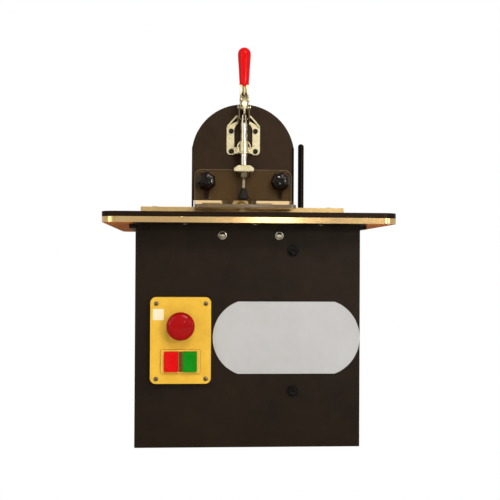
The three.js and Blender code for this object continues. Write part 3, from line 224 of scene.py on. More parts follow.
def eased(profile: Points, radius: float, steps: int = 3) -> Loop:
    """Rounds the inner corners of an open turning profile.

    Args:
        profile: radius and height pairs.
        radius: the radius of each rounded corner, limited by its neighbours.
        steps: chords of each corner.

    Returns:
        The profile with its ends as they were.
    """
    result: Loop = [profile[0]]
    for before, here, after in zip(profile, profile[1:], profile[2:]):
        spot = Vector(here)
        back, ahead = Vector(before) - spot, Vector(after) - spot
        reach = min(radius, back.length / 2.2, ahead.length / 2.2)
        start, end = spot + back.normalized() * reach, spot + ahead.normalized() * reach
        for step in range(steps + 1):
            t = step / steps
            curve = start * (1 - t) ** 2 + spot * 2 * t * (1 - t) + end * t ** 2
            result.append((max(curve.x, 0.0), curve.y))
    return [*result, profile[-1]]


def dome(radius: float, foot: float, height: float, steps: int = 8) -> Loop:
    """Gives a quarter-ellipse profile from its rim at the foot up to the axis."""
    angles = [QUARTER * i / steps for i in range(steps)]
    return [*((radius * math.cos(a), foot + height * math.sin(a)) for a in angles),
            (0.0, foot + height)]


def combined(first: Mesh, others: Iterable[Mesh], operation: str) -> Mesh:
    """Joins meshes to a mesh, or cuts them from it.

    Args:
        first: the mesh that is changed.
        others: the meshes that join or cut.
        operation: UNION, DIFFERENCE or INTERSECT.

    Returns:
        The new closed mesh.
    """
    for other in others:
        pair = [bpy.data.objects.new("solid", first), bpy.data.objects.new("tool", other)]
        for item in pair:
            bpy.context.scene.collection.objects.link(item)
        body, tool = pair
        modifier = body.modifiers.new("cut", "BOOLEAN")
        modifier.operation = operation
        modifier.solver = "EXACT"
        modifier.object = tool
        evaluated = body.evaluated_get(bpy.context.evaluated_depsgraph_get())
        first = bpy.data.meshes.new_from_object(evaluated)
        for item in pair:
            bpy.data.objects.remove(item)
    return first


def joined(first: Mesh, *others: Mesh) -> Mesh:
    """Joins solids into one closed mesh."""
    return combined(first, others, "UNION")


def cut(first: Mesh, *others: Mesh) -> Mesh:
    """Cuts solids from a mesh."""
    return combined(first, others, "DIFFERENCE")


def shared(first: Mesh, *others: Mesh) -> Mesh:
    """Keeps what a mesh shares with solids."""
    return combined(first, others, "INTERSECT")


def tilted(mesh: Mesh, matrix: Matrix) -> Mesh:
    """Turns and moves a mesh in place."""
    mesh.transform(matrix)
    return mesh


def moved_to(place: Sequence[float], side: int = 1) -> Matrix:
    """Gives the move to a place, after half a turn about Z for the left side."""
    turn = Matrix.Identity(4) if side > 0 else Matrix.Rotation(math.pi, 4, "Z")
    return Matrix.Translation(place) @ turn


def linear(levels: Levels) -> tuple[float, ...]:
    """Turns paint levels into opaque linear light."""
    shares = [level / 255 for level in levels]
    return (*(c / 12.92 if c <= 0.04045 else ((c + 0.055) / 1.055) ** 2.4 for c in shares), 1)


class Grain(Enum):
    """Small relief of a surface."""

    POWDER = "rounded bumps of a sprayed coat"
    SPECKLE = "fine grit of a cast or moulded skin"
    BRUSHED_X = "fine lines along X"
    BRUSHED_Z = "fine lines along Z"
    FIBRE = "pressed wood fibre"


STRETCH = {Grain.BRUSHED_X: (0.03, 1, 1), Grain.BRUSHED_Z: (1, 1, 0.03), Grain.FIBRE: (0.25, 1, 1)}


class NodeKit:
    """Adds and links nodes in one node tree."""

    def __init__(self, tree: bpy.types.NodeTree) -> None:
        """Keeps the tree that is filled."""
        self.tree = tree

    def add(self, kind: str, settings: Optional[dict] = None, **inputs: object) -> bpy.types.Node:
        """Adds a node.

        Args:
            kind: the node's Blender type name.
            settings: values of its properties.
            inputs: values or sockets of its inputs, each named i and its number, or by its name
                with underscores for spaces.

        Returns:
            The node.
        """
        node = self.tree.nodes.new(kind)
        for key, value in (settings or {}).items():
            setattr(node, key, value)
        for key, value in inputs.items():
            numbered = key[0] == "i" and key[1:].isdigit()
            self.feed(node.inputs[int(key[1:]) if numbered else key.replace("_", " ")], value)
        return node

    def feed(self, socket: Socket, value: object) -> None:
        """Links a socket to an input, or sets the input's value.

        Args:
            socket: the input.
            value: the socket or the value.
        """
        if isinstance(value, Socket):
            self.tree.links.new(value, socket)
        else:
            socket.default_value = value

    def math(self, operation: str, first: object, second: object = 0.0,
             third: object = 0.0) -> Socket:
        """Adds a math node and gives its result."""
        node = self.add("ShaderNodeMath", {"operation": operation}, i0=first, i1=second, i2=third)
        return node.outputs[0]

    def span(self, value: object, low: object, high: object, start: float = 0.0,
             end: float = 1.0) -> Socket:
        """Maps a value from start and end to low and high, clamped."""
        node = self.add("ShaderNodeMapRange", i0=value, i1=start, i2=end, i3=low, i4=high)
        return node.outputs[0]

    def mixed(self, share: object, first: object, second: object) -> Socket:
        """Mixes two colours by a share."""
        node = self.add("ShaderNodeMix", {"data_type": "RGBA"}, i0=share, i6=first, i7=second)
        return node.outputs[2]

    def noise(self, place: Socket, scale: object, **settings: float) -> Socket:
        """Adds a noise texture and gives its value."""
        return self.add("ShaderNodeTexNoise", Vector=place, Scale=scale, **settings).outputs[0]

    def product(self, kind: str, first: Socket, second: object) -> bpy.types.Node:
        """Adds a vector product of a kind."""
        return self.add("ShaderNodeVectorMath", {"operation": kind}, i0=first, i1=second)

    def group(self, tree: bpy.types.NodeTree, place: Socket, size: float) -> list[Socket]:
        """Adds a shared effect with its size in millimetres and gives its values."""
        return [*self.add("ShaderNodeGroup", {"node_tree": tree}, i0=place, i1=size * MM).outputs]


Given = dict[str, Socket]


def effect(name: str, size: str, outputs: Sequence[str],
           fill: Callable[[NodeKit, Given], Sequence[Socket]]) -> bpy.types.NodeTree:
    """Makes a shared effect as a node group, once.

    Args:
        name: the group's name.
        size: the name of the size that it takes beside a vector.
        outputs: names of the values that it gives.
        fill: adds its nodes and returns one socket for each output.

    Returns:
        The node group.
    """
    known = bpy.data.node_groups.get(name)
    if known:
        return known
    tree = bpy.data.node_groups.new(name, "ShaderNodeTree")
    sockets = [("Vector", "INPUT", "NodeSocketVector"), (size, "INPUT", "NodeSocketFloat"),
               *((key, "OUTPUT", "NodeSocketFloat") for key in outputs)]
    for key, way, kind in sockets:
        tree.interface.new_socket(key, in_out=way, socket_type=kind)
    kit = NodeKit(tree)
    given = kit.add("NodeGroupInput")
    results = fill(kit, {socket.name: socket for socket in given.outputs})
    end = kit.add("NodeGroupOutput")
    for socket, result in zip(end.inputs, results):
        tree.links.new(result, socket)
    return tree


def soft_patches(kit: NodeKit, given: Given) -> list[Socket]:
    """Makes soft patches, broad ones for tone and small ones for gloss.

    Args:
        given: the effect's inputs.

    Returns:
        The broad and the small patches.
    """
    scale = kit.math("DIVIDE", 1.0, given["Size"])
    broad = kit.noise(given["Vector"], scale, Detail=3.0, Roughness=0.55)
    near = kit.math("MULTIPLY", scale, 5.3)
    small = kit.noise(given["Vector"], near, Detail=4.0, Roughness=0.6)
    both = kit.math("MULTIPLY_ADD", small, 0.4, kit.math("MULTIPLY", broad, 0.6))
    return [kit.span(both, 0.0, 1.0, 0.36, 0.64), kit.span(small, 0.0, 1.0, 0.35, 0.65)]


def relief(grain: Grain, kit: NodeKit, given: Given) -> list[Socket]:
    """Makes a surface's small relief.

    Args:
        grain: which relief.
        given: the effect's inputs.

    Returns:
        The height.
    """
    place, scale = given["Vector"], kit.math("DIVIDE", 1.0, given["Size"])
    if grain is Grain.POWDER:
        cells = kit.add("ShaderNodeTexVoronoi", {"feature": "SMOOTH_F1"}, Vector=place,
                        Scale=scale)
        bumps = kit.math("SUBTRACT", 1.0, cells.outputs[0])
        return [kit.math("MULTIPLY_ADD", kit.noise(place, scale, Detail=1.0), 0.5, bumps)]
    if grain is Grain.SPECKLE:
        return [kit.noise(place, scale, Detail=3.0, Roughness=0.7)]
    drawn = kit.product("MULTIPLY", place, STRETCH[grain]).outputs[0]
    if grain is Grain.FIBRE:
        fine = kit.noise(place, scale, Detail=3.0, Roughness=0.7)
        strands = kit.noise(drawn, scale, Detail=4.0, Distortion=1.2)
        return [kit.math("MULTIPLY_ADD", fine, 0.3, strands)]
    return [kit.noise(drawn, scale, Detail=2.0, Roughness=0.7)]


def rubbed_edges(kit: NodeKit, given: Given) -> list[Socket]:
    """Makes a mask of the edges, broken up by patches: worn edges on some finishes, painted
    highlights and painted shade along the edges on others.

    Args:
        given: the effect's inputs.

    Returns:
        The mask.
    """
    soft = kit.add("ShaderNodeBevel", {"samples": 4}, Radius=given["Width"]).outputs[0]
    true = kit.add("ShaderNodeNewGeometry").outputs["Normal"]
    bend = kit.span(kit.product("DOT_PRODUCT", soft, true).outputs["Value"], 1.0, 0.0, 0.72, 0.99)
    spots = kit.noise(given["Vector"], 240.0, Detail=5.0, Roughness=0.7)
    return [kit.math("MULTIPLY", bend, kit.span(spots, 0.0, 1.0, 0.42, 0.62))]


@dataclass(frozen=True)
class Finish:
    """A surface finish of one kind of piece; sizes in millimetres."""

    slot: str
    color: Levels
    shade: Levels
    cloud: float
    roughness: Point
    metallic: float = 0.0
    grain: Grain = Grain.SPECKLE
    grain_size: float = 0.5
    grain_depth: float = 0.003
    # colour along the edges: real wear on some finishes, a painted highlight or painted shade on
    # others
    edge: Optional[Levels] = None
    edge_width: float = 0.8
    edge_share: float = 0.6
    specular: float = 0.22
    transmission: float = 0.0
    refraction: float = 1.5

    def material(self) -> bpy.types.Material:
        """Makes the finish's material, once.

        Returns:
            The material.
        """
        name = f"{self.slot}_{self.grain.name.lower()}{self.cloud:.0f}"
        known = bpy.data.materials.get(name)
        if known:
            return known
        made = bpy.data.materials.new(name)
        made.use_nodes = True
        kit = NodeKit(made.node_tree)
        place = kit.add("ShaderNodeTexCoord").outputs["Object"]

        tree = effect("soft_patches", "Size", ["Broad", "Small"], soft_patches)
        broad, small = kit.group(tree, place, self.cloud)
        tone = kit.mixed(broad, linear(self.color), linear(self.shade))
        # Edge colour: real wear on some finishes, a painted highlight or painted shade along the
        # edges on others.
        if self.edge:
            tree = effect("rubbed_edges", "Width", ["Mask"], rubbed_edges)
            share = kit.math("MULTIPLY", *kit.group(tree, place, self.edge_width), self.edge_share)
            tone = kit.mixed(share, tone, linear(self.edge))
        tree = effect("relief_" + self.grain.name.lower(), "Size", ["Height"],
                      partial(relief, self.grain))
        height, = kit.group(tree, place, self.grain_size)
        bump = kit.add("ShaderNodeBump", Height=height, Distance=self.grain_depth * MM)

        surface = made.node_tree.nodes["Principled BSDF"]
        values = {
            "Base Color": tone, "Roughness": kit.span(small, *self.roughness),
            "Normal": bump.outputs["Normal"], "Metallic": self.metallic, "IOR": self.refraction,
            "Specular IOR Level": self.specular, "Transmission Weight": self.transmission,
        }
        for key, value in values.items():
            kit.feed(surface.inputs[key], value)
        return made


CABINET_COAT = Finish(
    "cabinet_paint", (38, 29, 19), (29, 21, 14), cloud=120, roughness=(0.42, 0.52),
    grain=Grain.POWDER, grain_size=1.1, grain_depth=0.03, edge=(80, 70, 56), edge_share=0.3,
    specular=0.08)
# The bracket's lighter edge colour is a painted highlight along the plate's edges.
BRACKET_COAT = Finish(
    "bracket_paint", (56, 41, 28), (47, 34, 22), cloud=60, roughness=(0.38, 0.5),
    grain=Grain.POWDER, grain_size=0.9, grain_depth=0.02, edge=(90, 70, 48), edge_share=0.15,
    specular=0.06)
LEVER_BLACKING = Finish(
    "lever_paint", (22, 13, 5), (16, 9, 4), cloud=22, roughness=(0.2, 0.3), specular=0.06)
DARK_LAMINATE = Finish(
    "dark_sheet", (38, 25, 14), (30, 20, 11), cloud=80, roughness=(0.26, 0.42),
    grain_size=0.4, grain_depth=0.008, edge=(86, 68, 46), edge_share=0.2, specular=0.05)
PRESSED_BOARD = Finish(
    "board", (226, 130, 38), (196, 106, 28), cloud=14, roughness=(0.7, 0.85),
    grain=Grain.FIBRE, grain_size=1.6, grain_depth=0.06)
# The band's gold tone is a painted reflection: the warm tint that the polished silver band picks
# up from its surroundings.
WARM_REFLECTION_BAND = Finish(
    "gold_band", (228, 196, 138), (212, 172, 114), cloud=90, roughness=(0.14, 0.2),
    metallic=1.0, grain=Grain.BRUSHED_X, grain_size=0.4, grain_depth=0.006)
FENCE_ALUMINIUM = Finish(
    "fence_aluminium", (204, 174, 118), (188, 158, 104), cloud=26, roughness=(0.38, 0.48),
    metallic=0.7, grain=Grain.BRUSHED_X, grain_depth=0.008, edge=(236, 222, 176))
CAST_ALUMINIUM = Finish(
    "cast_aluminium", (186, 182, 172), (160, 156, 146), cloud=12, roughness=(0.42, 0.6),
    metallic=0.8, grain_size=1.2, grain_depth=0.05, edge=(220, 216, 206))
CLAMP_ZINC = Finish(
    "clamp_metal", (212, 200, 162), (190, 177, 138), cloud=18, roughness=(0.26, 0.36),
    metallic=0.95, grain=Grain.BRUSHED_Z, grain_size=0.6, edge=(250, 242, 214),
    edge_width=0.6)
HANDLE_ZINC = Finish(
    "clamp_metal", (186, 172, 138), (150, 136, 102), cloud=10, roughness=(0.28, 0.4),
    metallic=0.95, grain=Grain.BRUSHED_Z, grain_size=0.6, edge=(232, 224, 200),
    edge_width=0.5)
# The ears are darker than the rest of the clamp: painted shade, where they stand in shadow between
# the plates.
SHADED_EAR_ZINC = Finish(
    "clamp_metal", (112, 96, 66), (86, 72, 48), cloud=7, roughness=(0.35, 0.5),
    metallic=0.6, grain_size=0.3, grain_depth=0.006)
# Its bright edge colour is a painted highlight round the nut, its washer and the station's screw
# heads.
DARK_NUT = Finish(
    "clamp_metal", (120, 108, 84), (84, 74, 54), cloud=5, roughness=(0.16, 0.26),
    metallic=1.0, grain_size=0.3, edge=(230, 220, 190), edge_width=0.5, edge_share=0.8)
BRIGHT_STEEL = Finish(
    "bright_steel", (216, 206, 182), (190, 178, 150), cloud=8, roughness=(0.14, 0.26),
    metallic=1.0, grain=Grain.BRUSHED_Z, grain_size=0.25)
# Its bright edge colour is a painted highlight ring round the dome heads.
DOME_STEEL = Finish(
    "bright_steel", (196, 188, 168), (128, 118, 96), cloud=5, roughness=(0.14, 0.24),
    metallic=1.0, grain_size=0.3, edge=(242, 234, 212), edge_width=0.6, edge_share=0.8)
STAINLESS = Finish(
    "bright_steel", (214, 208, 196), (196, 190, 176), cloud=17, roughness=(0.12, 0.2),
    metallic=1.0, grain_size=0.4, grain_depth=0.002)
BLACK_STEEL = Finish(
    "black_steel", (40, 34, 28), (28, 24, 20), cloud=7, roughness=(0.26, 0.4),
    metallic=0.7, grain_size=0.3, grain_depth=0.008, edge=(120, 108, 84), edge_width=0.4)
# Its pale edge colour is a painted highlight, the light ring round the black cap screws and their
# washers.
CAP_BLACK = Finish(
    "black_steel", (10, 8, 6), (8, 6, 4), cloud=6, roughness=(0.14, 0.22), grain_size=0.3,
    grain_depth=0.002, edge=(150, 132, 98), edge_width=0.7, edge_share=0.75, specular=0.12)
BLACK_RUBBER = Finish(
    "black_rubber", (26, 22, 19), (36, 31, 27), cloud=6, roughness=(0.62, 0.78),
    grain_depth=0.02)
RED_VINYL = Finish(
    "red_vinyl", (232, 4, 8), (222, 3, 7), cloud=14, roughness=(0.1, 0.16),
    grain_size=0.6, grain_depth=0.004, specular=0.14)
SMOKED_SHEET = Finish(
    "clear_plastic", (243, 211, 158), (236, 204, 150), cloud=60, roughness=(0.01, 0.03),
    grain_size=6.0, grain_depth=0.004, transmission=0.955, refraction=1.14, specular=0.2)
# The sawn edge rings are opaque and lighter than the sheet: painted light caught along the sheet's
# edges; their gloss gives the real highlight.
LIT_EDGE_RING = Finish(
    "clear_plastic", (128, 104, 70), (108, 88, 58), cloud=25, roughness=(0.14, 0.22),
    grain_size=0.6, grain_depth=0.002, specular=0.5)
KNOB_PLASTIC = Finish(
    "knob_plastic", (20, 12, 4), (24, 15, 6), cloud=10, roughness=(0.05, 0.08),
    grain_size=0.8, grain_depth=0.001, specular=0.19)
MOTOR_PLASTIC = Finish(
    "motor_plastic", (34, 32, 32), (44, 42, 41), cloud=20, roughness=(0.45, 0.6),
    grain_depth=0.03)
STATION_YELLOW = Finish(
    "yellow_paint", (240, 192, 64), (229, 180, 56), cloud=34, roughness=(0.4, 0.52),
    grain_size=0.6, grain_depth=0.012, edge=(255, 220, 116), edge_share=0.5)
# Its pale edge colour is a painted highlight along the raised bezel's edges.
BEZEL_YELLOW = Finish(
    "brown_plastic", (240, 193, 68), (232, 184, 60), cloud=20, roughness=(0.38, 0.5),
    grain_depth=0.01, edge=(255, 236, 160), edge_width=1.3, edge_share=0.9)
BROWN_STRIP = Finish(
    "brown_plastic", (112, 66, 28), (96, 54, 22), cloud=9, roughness=(0.4, 0.5),
    grain_depth=0.01)
# A slightly darker band round the bezel: painted shadow at the bezel's foot.
BEZEL_SHADE_BAND = Finish(
    "brown_plastic", (206, 156, 48), (192, 142, 40), cloud=8, roughness=(0.5, 0.6),
    grain_depth=0.01)
STOP_RED = Finish(
    "estop_plastic", (168, 2, 5), (156, 2, 4), cloud=18, roughness=(0.05, 0.08),
    grain_size=0.6, grain_depth=0.001, specular=0.16)
# The buttons' darker edge colours are painted shade along their rounded edges.
BUTTON_RED = Finish(
    "red_plastic", (224, 6, 9), (216, 5, 8), cloud=12, roughness=(0.25, 0.35),
    grain_depth=0.008, edge=(150, 6, 8), edge_width=0.9, specular=0.12)
BUTTON_GREEN = Finish(
    "green_plastic", (10, 142, 15), (8, 130, 12), cloud=12, roughness=(0.25, 0.35),
    grain_depth=0.008, edge=(8, 84, 14), edge_width=0.9, specular=0.12)
PLATE_GREY = Finish(
    "grey_plate", (191, 191, 192), (185, 185, 185), cloud=70, roughness=(0.36, 0.48),
    grain_size=0.9, grain_depth=0.006, edge=(236, 236, 238), edge_share=0.5)
BLANK_STICKER = Finish(
    "grey_plate", (255, 240, 206), (250, 232, 192), cloud=11, roughness=(0.4, 0.5),
    grain_depth=0.004)


class Assembly:
    """Places finished pieces on one of the machine's bodies."""

    body = "frame"

    def add(self, name: str, mesh: Mesh, finish: Finish, node: str = "",
            ease: float = 0.0, body: Optional[str] = None, crease: float = CREASE) -> None:
        """Places a piece that was drawn in millimetres.

        Args:
            name: the piece's name.
            mesh: its closed mesh.
            finish: its finish.
            node: the model's node that it stands for, if any.
            ease: width of the bevel along its edges, 0 for none.
            body: the body it rides on, if it isn't the assembly's own.
            crease: the angle in degrees from which an edge stays sharp.
        """
        mesh.name = name
        mesh.transform(Matrix.Scale(MM, 4))
        mesh.materials.clear()
        mesh.materials.append(finish.material())
        mesh.shade_smooth()
        mesh.set_sharp_from_angle(angle=math.radians(crease))
        item = bpy.data.objects.new(name, mesh)
        bpy.context.scene.collection.objects.link(item)
        if ease:
            self.bevel(item, ease, crease)
        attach(item, body or self.body)
        if node:
            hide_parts(node)
        LOG.info("%s: %d faces, %s", name, len(mesh.polygons), finish.slot)

    def keep(self, finish: Finish, ease: float, *nodes: str) -> None:
        """Finishes nodes of the model whose own shape is kept.

        Args:
            finish: their finish.
            ease: width of the bevel along their edges.
            nodes: the nodes' names.
        """
        for node in nodes:
            item = bpy.data.objects[node]
            for slot in item.material_slots:
                slot.material = finish.material()
            flat = item.modifiers.new("flat_faces", "DECIMATE")
            flat.decimate_type = "DISSOLVE"
            flat.angle_limit = math.radians(FLAT)
            self.bevel(item, ease, CREASE)
            LOG.info("%s: kept, %s", node, finish.slot)

    @staticmethod
    def bevel(item: bpy.types.Object, width: float, crease: float) -> None:
        """Adds a soft edge to a piece.

        Args:
            item: the piece.
            width: the bevel's width.
            crease: the angle in degrees from which an edge gets it.
        """
        edge = item.modifiers.new("soft_edges", "BEVEL")
        edge.width = width * MM
        edge.segments = 2
        edge.limit_method = "ANGLE"
        edge.angle_limit = math.radians(crease)
        edge.harden_normals = True
        edge.use_clamp_overlap = True

    def build(self) -> None:
        """Makes every piece of the assembly."""
        raise NotImplementedError


@dataclass(frozen=True)
class Places:
    """Planes and axes that the assemblies share, in millimetres."""

    table_front: float = -228.5
    panel_front: float = -178.5
    panel_back: float = -176.5
    cabinet_back: float = 201.5
    cabinet_top: float = 319.0
    core_bottom: float = 319.3
    core_top: float = 327.3
    sheet_bottom: float = 327.6
    table_top: float = 334.6
    fence_face: float = -28.5
    fence_height: float = 17.2
    fence_depth: float = 12.7
    plate_back: float = -25.5
    clamp_foot: float = 434.8
    clamp_axis: float = -48.5
    clamp_back: float = -28.8
    clamp_pivot: float = 507.8
    shaft: Point = (71.5, 214.6)
    drill_height: float = 352.6
    drill_tilt: float = math.radians(6)
    gap: float = 0.3


AT = Places()


@dataclass(frozen=True)
class Flutes:
    """Hollows round a turned piece, from the first to the last of some profile points."""

    count: int
    depth: float
    first: int
    last: int
    power: float = 1.0

    def factor(self, angle: float, index: int) -> float:
        """Gives the factor for the radius."""
        wave = 0.5 + 0.5 * math.cos(self.count * angle)
        return 1 - self.depth * wave ** self.power if self.first <= index <= self.last else 1.0


def raised(profile: Points, rise: float, wider: float = 0.0) -> Loop:
    """Gives a profile that starts higher up and farther out."""
    return [(radius + wider, height + rise) for radius, height in profile]


def screw_head(place: Sequence[float], axis: Axis, radius: float, height: float,
               slot: float = 0.0) -> Mesh:
    """Makes a domed screw head, slotted or plain.

    Args:
        place: centre of its underside.
        axis: the way the head stands.
        radius: radius of the head.
        height: height of the head.
        slot: width of its slot, 0 for none.

    Returns:
        The mesh.
    """
    profile = [(0.0, 0.0), (radius, 0.0), *dome(radius, height * 0.25, height * 0.75)]
    mesh = turned(axis, place, profile, 28)
    if not slot:
        return mesh
    bar = slab(Plane.FLOOR, [box((0, 0), (radius * 1.2, slot / 2))], height * 0.55, height * 2)
    return cut(mesh, tilted(bar, Matrix.Translation(place) @ axis.value.to_4x4()))


@dataclass
class Cabinet(Assembly):
    """Steel cabinet: front and rear panels, sides, base, and what is fixed inside."""

    half: float = 161.5
    corner: float = 1.0
    vent: Point = (45.0, 3.0)
    vent_round: float = 2.9
    vent_pitch: Point = (130.0, 16.0)
    vent_height: float = 170.0
    vent_rows: int = 8
    cover: float = 2.0
    cover_screw: Triple = (150.0, 8.0, 100.0)
    cover_head: Triple = (3.6, 2.0, 0.9)
    bolt_head: Point = (4.0, 2.4)
    bearing_bolt: float = 17.0
    panel_screws: Profile = ((-37.5, 303.3), (44.0, 303.3))
    cap_screws: Profile = ((64.0, 281.5), (64.0, 80.9))
    dome_screw: Profile = ((0.0, -9.0), (2.5, -9.0), (2.5, 0.3), (6.0, 0.3), (6.0, 1.1),
                           (5.6, 1.3), *dome(4.9, 1.3, 3.0)[:7], (1.5, 4.2), (1.5, 2.6),
                           (0.0, 2.4))
    cap_head: Profile = ((0.0, -9.0), (3.0, -9.0), (3.0, 1.9), (5.0, 1.9), (5.0, 7.9),
                         (2.6, 7.9), (2.6, 4.9), (0.0, 4.9))
    washer: Profile = ((3.4, 0.3), (8.5, 0.3), (8.5, 1.9), (3.4, 1.9))
    flutes: Flutes = Flutes(21, 0.025, 8, 13)

    def build(self) -> None:
        """Makes the panels, then their screws."""
        face = rectangle((-self.half, 0), (self.half, AT.cabinet_top), self.corner, 3)
        self.add("front_panel_sheet", slab(Plane.FRONT, [face], AT.panel_front, AT.panel_back),
                 CABINET_COAT, "front_panel", ease=0.9)
        self.rear(face)
        self.keep(CABINET_COAT, 0.5, "left_side_panel", "right_side_panel", "base_plate")
        self.keep(BRIGHT_STEEL, 0.3, "front_frame", "shaft_bearing_left", "shaft_bearing_right")
        self.keep(MOTOR_PLASTIC, 0.3, "contact_block")
        self.front_screws()
        self.side_bolts()

    def rear(self, face: Loop) -> None:
        """Makes the rear cover with its vents and its screws.

        Args:
            face: the cover's outline.
        """
        back = AT.cabinet_back
        vents = [box((column * self.vent_pitch[0],
                      self.vent_height + (row - (self.vent_rows - 1) / 2) * self.vent_pitch[1]),
                     self.vent, self.vent_round, 4)
                 for column in (-0.5, 0.5) for row in range(self.vent_rows)]
        self.add("rear_cover_sheet", slab(Plane.FRONT, [face, *vents], back - self.cover, back),
                 CABINET_COAT, "rear_cover", ease=0.5)
        x, z, pitch = self.cover_screw
        for side, name in SIDES:
            for row in range(4):
                head = screw_head((side * x, back, z + row * pitch), Axis.BACK, *self.cover_head)
                self.add(f"rear_screw_{name}_{row + 1}", head, BLACK_STEEL)

    def front_screws(self) -> None:
        """Makes the silver dome screws and the black cap screws of the front."""
        for (x, z), (_, side) in zip(self.panel_screws, SIDES):
            mesh = turned(Axis.FORWARD, (x, AT.panel_front, z), self.dome_screw)
            self.add(f"dome_screw_{side}", mesh, DOME_STEEL, f"panel_screw_{side}")
        for (x, z), level in zip(self.cap_screws, ("upper", "lower")):
            origin = (x, AT.panel_front, z)
            head = turned(Axis.FORWARD, origin, eased(self.cap_head, 0.7), 42,
                          self.flutes.factor)
            self.add(f"cap_screw_{level}_head", head, CAP_BLACK, f"cap_screw_{level}")
            ring = turned(Axis.FORWARD, origin, eased(self.washer, 0.4))
            self.add(f"cap_screw_{level}_washer", ring, CAP_BLACK, ease=0.3)

    def side_bolts(self) -> None:
        """Makes the bolts that hold the shaft's bearings to the side panels."""
        bolts = arc(AT.shaft, self.bearing_bolt, QUARTER / 2, QUARTER * 3.5, 3)
        for side, name in SIDES:
            for number, (y, z) in enumerate(bolts, 1):
                head = screw_head(CENTER, Axis.X, *self.bolt_head)
                tilted(head, moved_to((side * self.half, y, z), side))
                self.add(f"bearing_bolt_{name}_{number}", head, BLACK_STEEL)


@dataclass
class Table(Assembly):
    """Table: a dark laminate on a board, a metal edge band, two rails under it."""

    half: Point = (206.5, 228.5)
    corner: float = 20.0
    band: float = 1.5
    seam: float = 186.5
    throat: tuple[Point, Point, float, int] = ((-9.0, -88.5), (9.0, -34.5), 8.7, 8)
    lever_slot: tuple[Point, Point, float, int] = ((98.0, 28.1), (111.0, 106.0), 6.2, 8)
    tongue_slot: tuple[Point, Point, float, int] = ((-52.0, 54.5), (-36.0, 112.5), 3.0, 5)
    screws: tuple[float, ...] = (-91.0, 8.0, 102.0)
    screw_depth: float = 38.0
    head: Triple = (3.5, 2.2, 0.9)
    strip: Triple = (163.0, 0.8, 0.05)

    def outline(self, inset: float) -> Loop:
        """Gives the table's outline, inset from its edge."""
        return box((0, 0), (self.half[0] - inset, self.half[1] - inset), self.corner - inset, 14)

    def build(self) -> None:
        """Makes the sheets, the band and what is under the table."""
        cuts = [rectangle(*slot) for slot in (self.throat, self.lever_slot, self.tongue_slot)]
        sheet = slab(Plane.FLOOR, [self.outline(0), *cuts], AT.sheet_bottom, AT.table_top)
        self.add("table_laminate", sheet, DARK_LAMINATE, "table_top_sheet", ease=0.7)
        core = slab(Plane.FLOOR, [self.outline(self.band + AT.gap), *cuts], AT.core_bottom,
                    AT.core_top)
        self.add("table_board", core, PRESSED_BOARD, "table_core", ease=0.3)
        self.bands()
        # A dark sheet under the table's overhang, in front of the cabinet: painted shade where the
        # underside lies in shadow.
        half, low, high = self.strip
        face = rectangle((-half, AT.table_front + self.band + 1), (half, AT.panel_front - 0.5),
                         1.0, 3)
        self.add("underside_strip", slab(Plane.FLOOR, [face], AT.core_bottom - low,
                                         AT.core_bottom - high), CABINET_COAT, ease=0.2)
        self.keep(CABINET_COAT, 0.5, "table_rail_left", "table_rail_right")
        for number, x in enumerate(self.screws, 1):
            place = (x, AT.table_front + self.screw_depth, AT.core_bottom)
            head = tilted(screw_head(CENTER, Axis.UP, *self.head),
                          Matrix.Translation(place) @ Matrix.Rotation(math.pi, 4, "X"))
            self.add(f"table_screw_{number}", head, STAINLESS)

    def bands(self) -> None:
        """Makes the front strip of the edge band and the strip round the rest."""
        front, start = AT.table_front, self.seam + AT.gap
        strip = rectangle((-self.seam, front), (self.seam, front + self.band), 0.2, 2)
        outer, inner = (self.open_at_front(self.outline(n), start) for n in (0, self.band))
        for name, node, face in (("band_front_strip", "edge_band_front", strip),
                                 ("band_wrap_strip", "edge_band_wrap", outer + inner[::-1])):
            self.add(name, slab(Plane.FLOOR, [face], AT.core_bottom, AT.core_top), WARM_REFLECTION_BAND,
                     node, ease=0.25)

    @staticmethod
    def open_at_front(loop: Loop, start: float) -> Loop:
        """Opens the outline at the front and ends it at the strip's seams.

        Args:
            loop: closed outline, anticlockwise.
            start: where the front strip's room ends.

        Returns:
            The open outline from the right seam round the back to the left seam.
        """
        front = min(v for _, v in loop)
        rest = [spot for spot in loop if not (abs(spot[0]) < start and spot[1] <= front + 1e-6)]
        first = next(i for i, (x, y) in enumerate(rest) if x > 0 > y and rest[i - 1][0] < 0)
        return [(start, front), *rest[first:], *rest[:first], (-start, front)]


@dataclass
class Fence(Assembly):
    """Fence bar across the table, its notch for the drill and its screws."""

    half: float = 162.0
    notch: Point = (3.8, 4.3)
    screw: float = 140.0
    head: Triple = (4.2, 1.6, 1.1)

    def build(self) -> None:
        """Makes the bar and the screws on its top."""
        foot = AT.table_top + AT.gap
        top = foot + AT.fence_height
        n, low = self.notch[0], top - self.notch[1]
        outline = [(-self.half, foot), (self.half, foot), (self.half, top), (n, top), (n, low),
                   (-n, low), (-n, top), (-self.half, top)]
        bar = slab(Plane.FRONT, [outline], AT.fence_face, AT.fence_face + AT.fence_depth)
        self.add("fence_rail", bar, FENCE_ALUMINIUM, "fence_bar", ease=0.5)
        for side, name in SIDES:
            place = (side * self.screw, AT.fence_face + AT.fence_depth / 2, top)
            self.add(f"fence_screw_{name}", screw_head(place, Axis.UP, *self.head),
                     BRIGHT_STEEL)


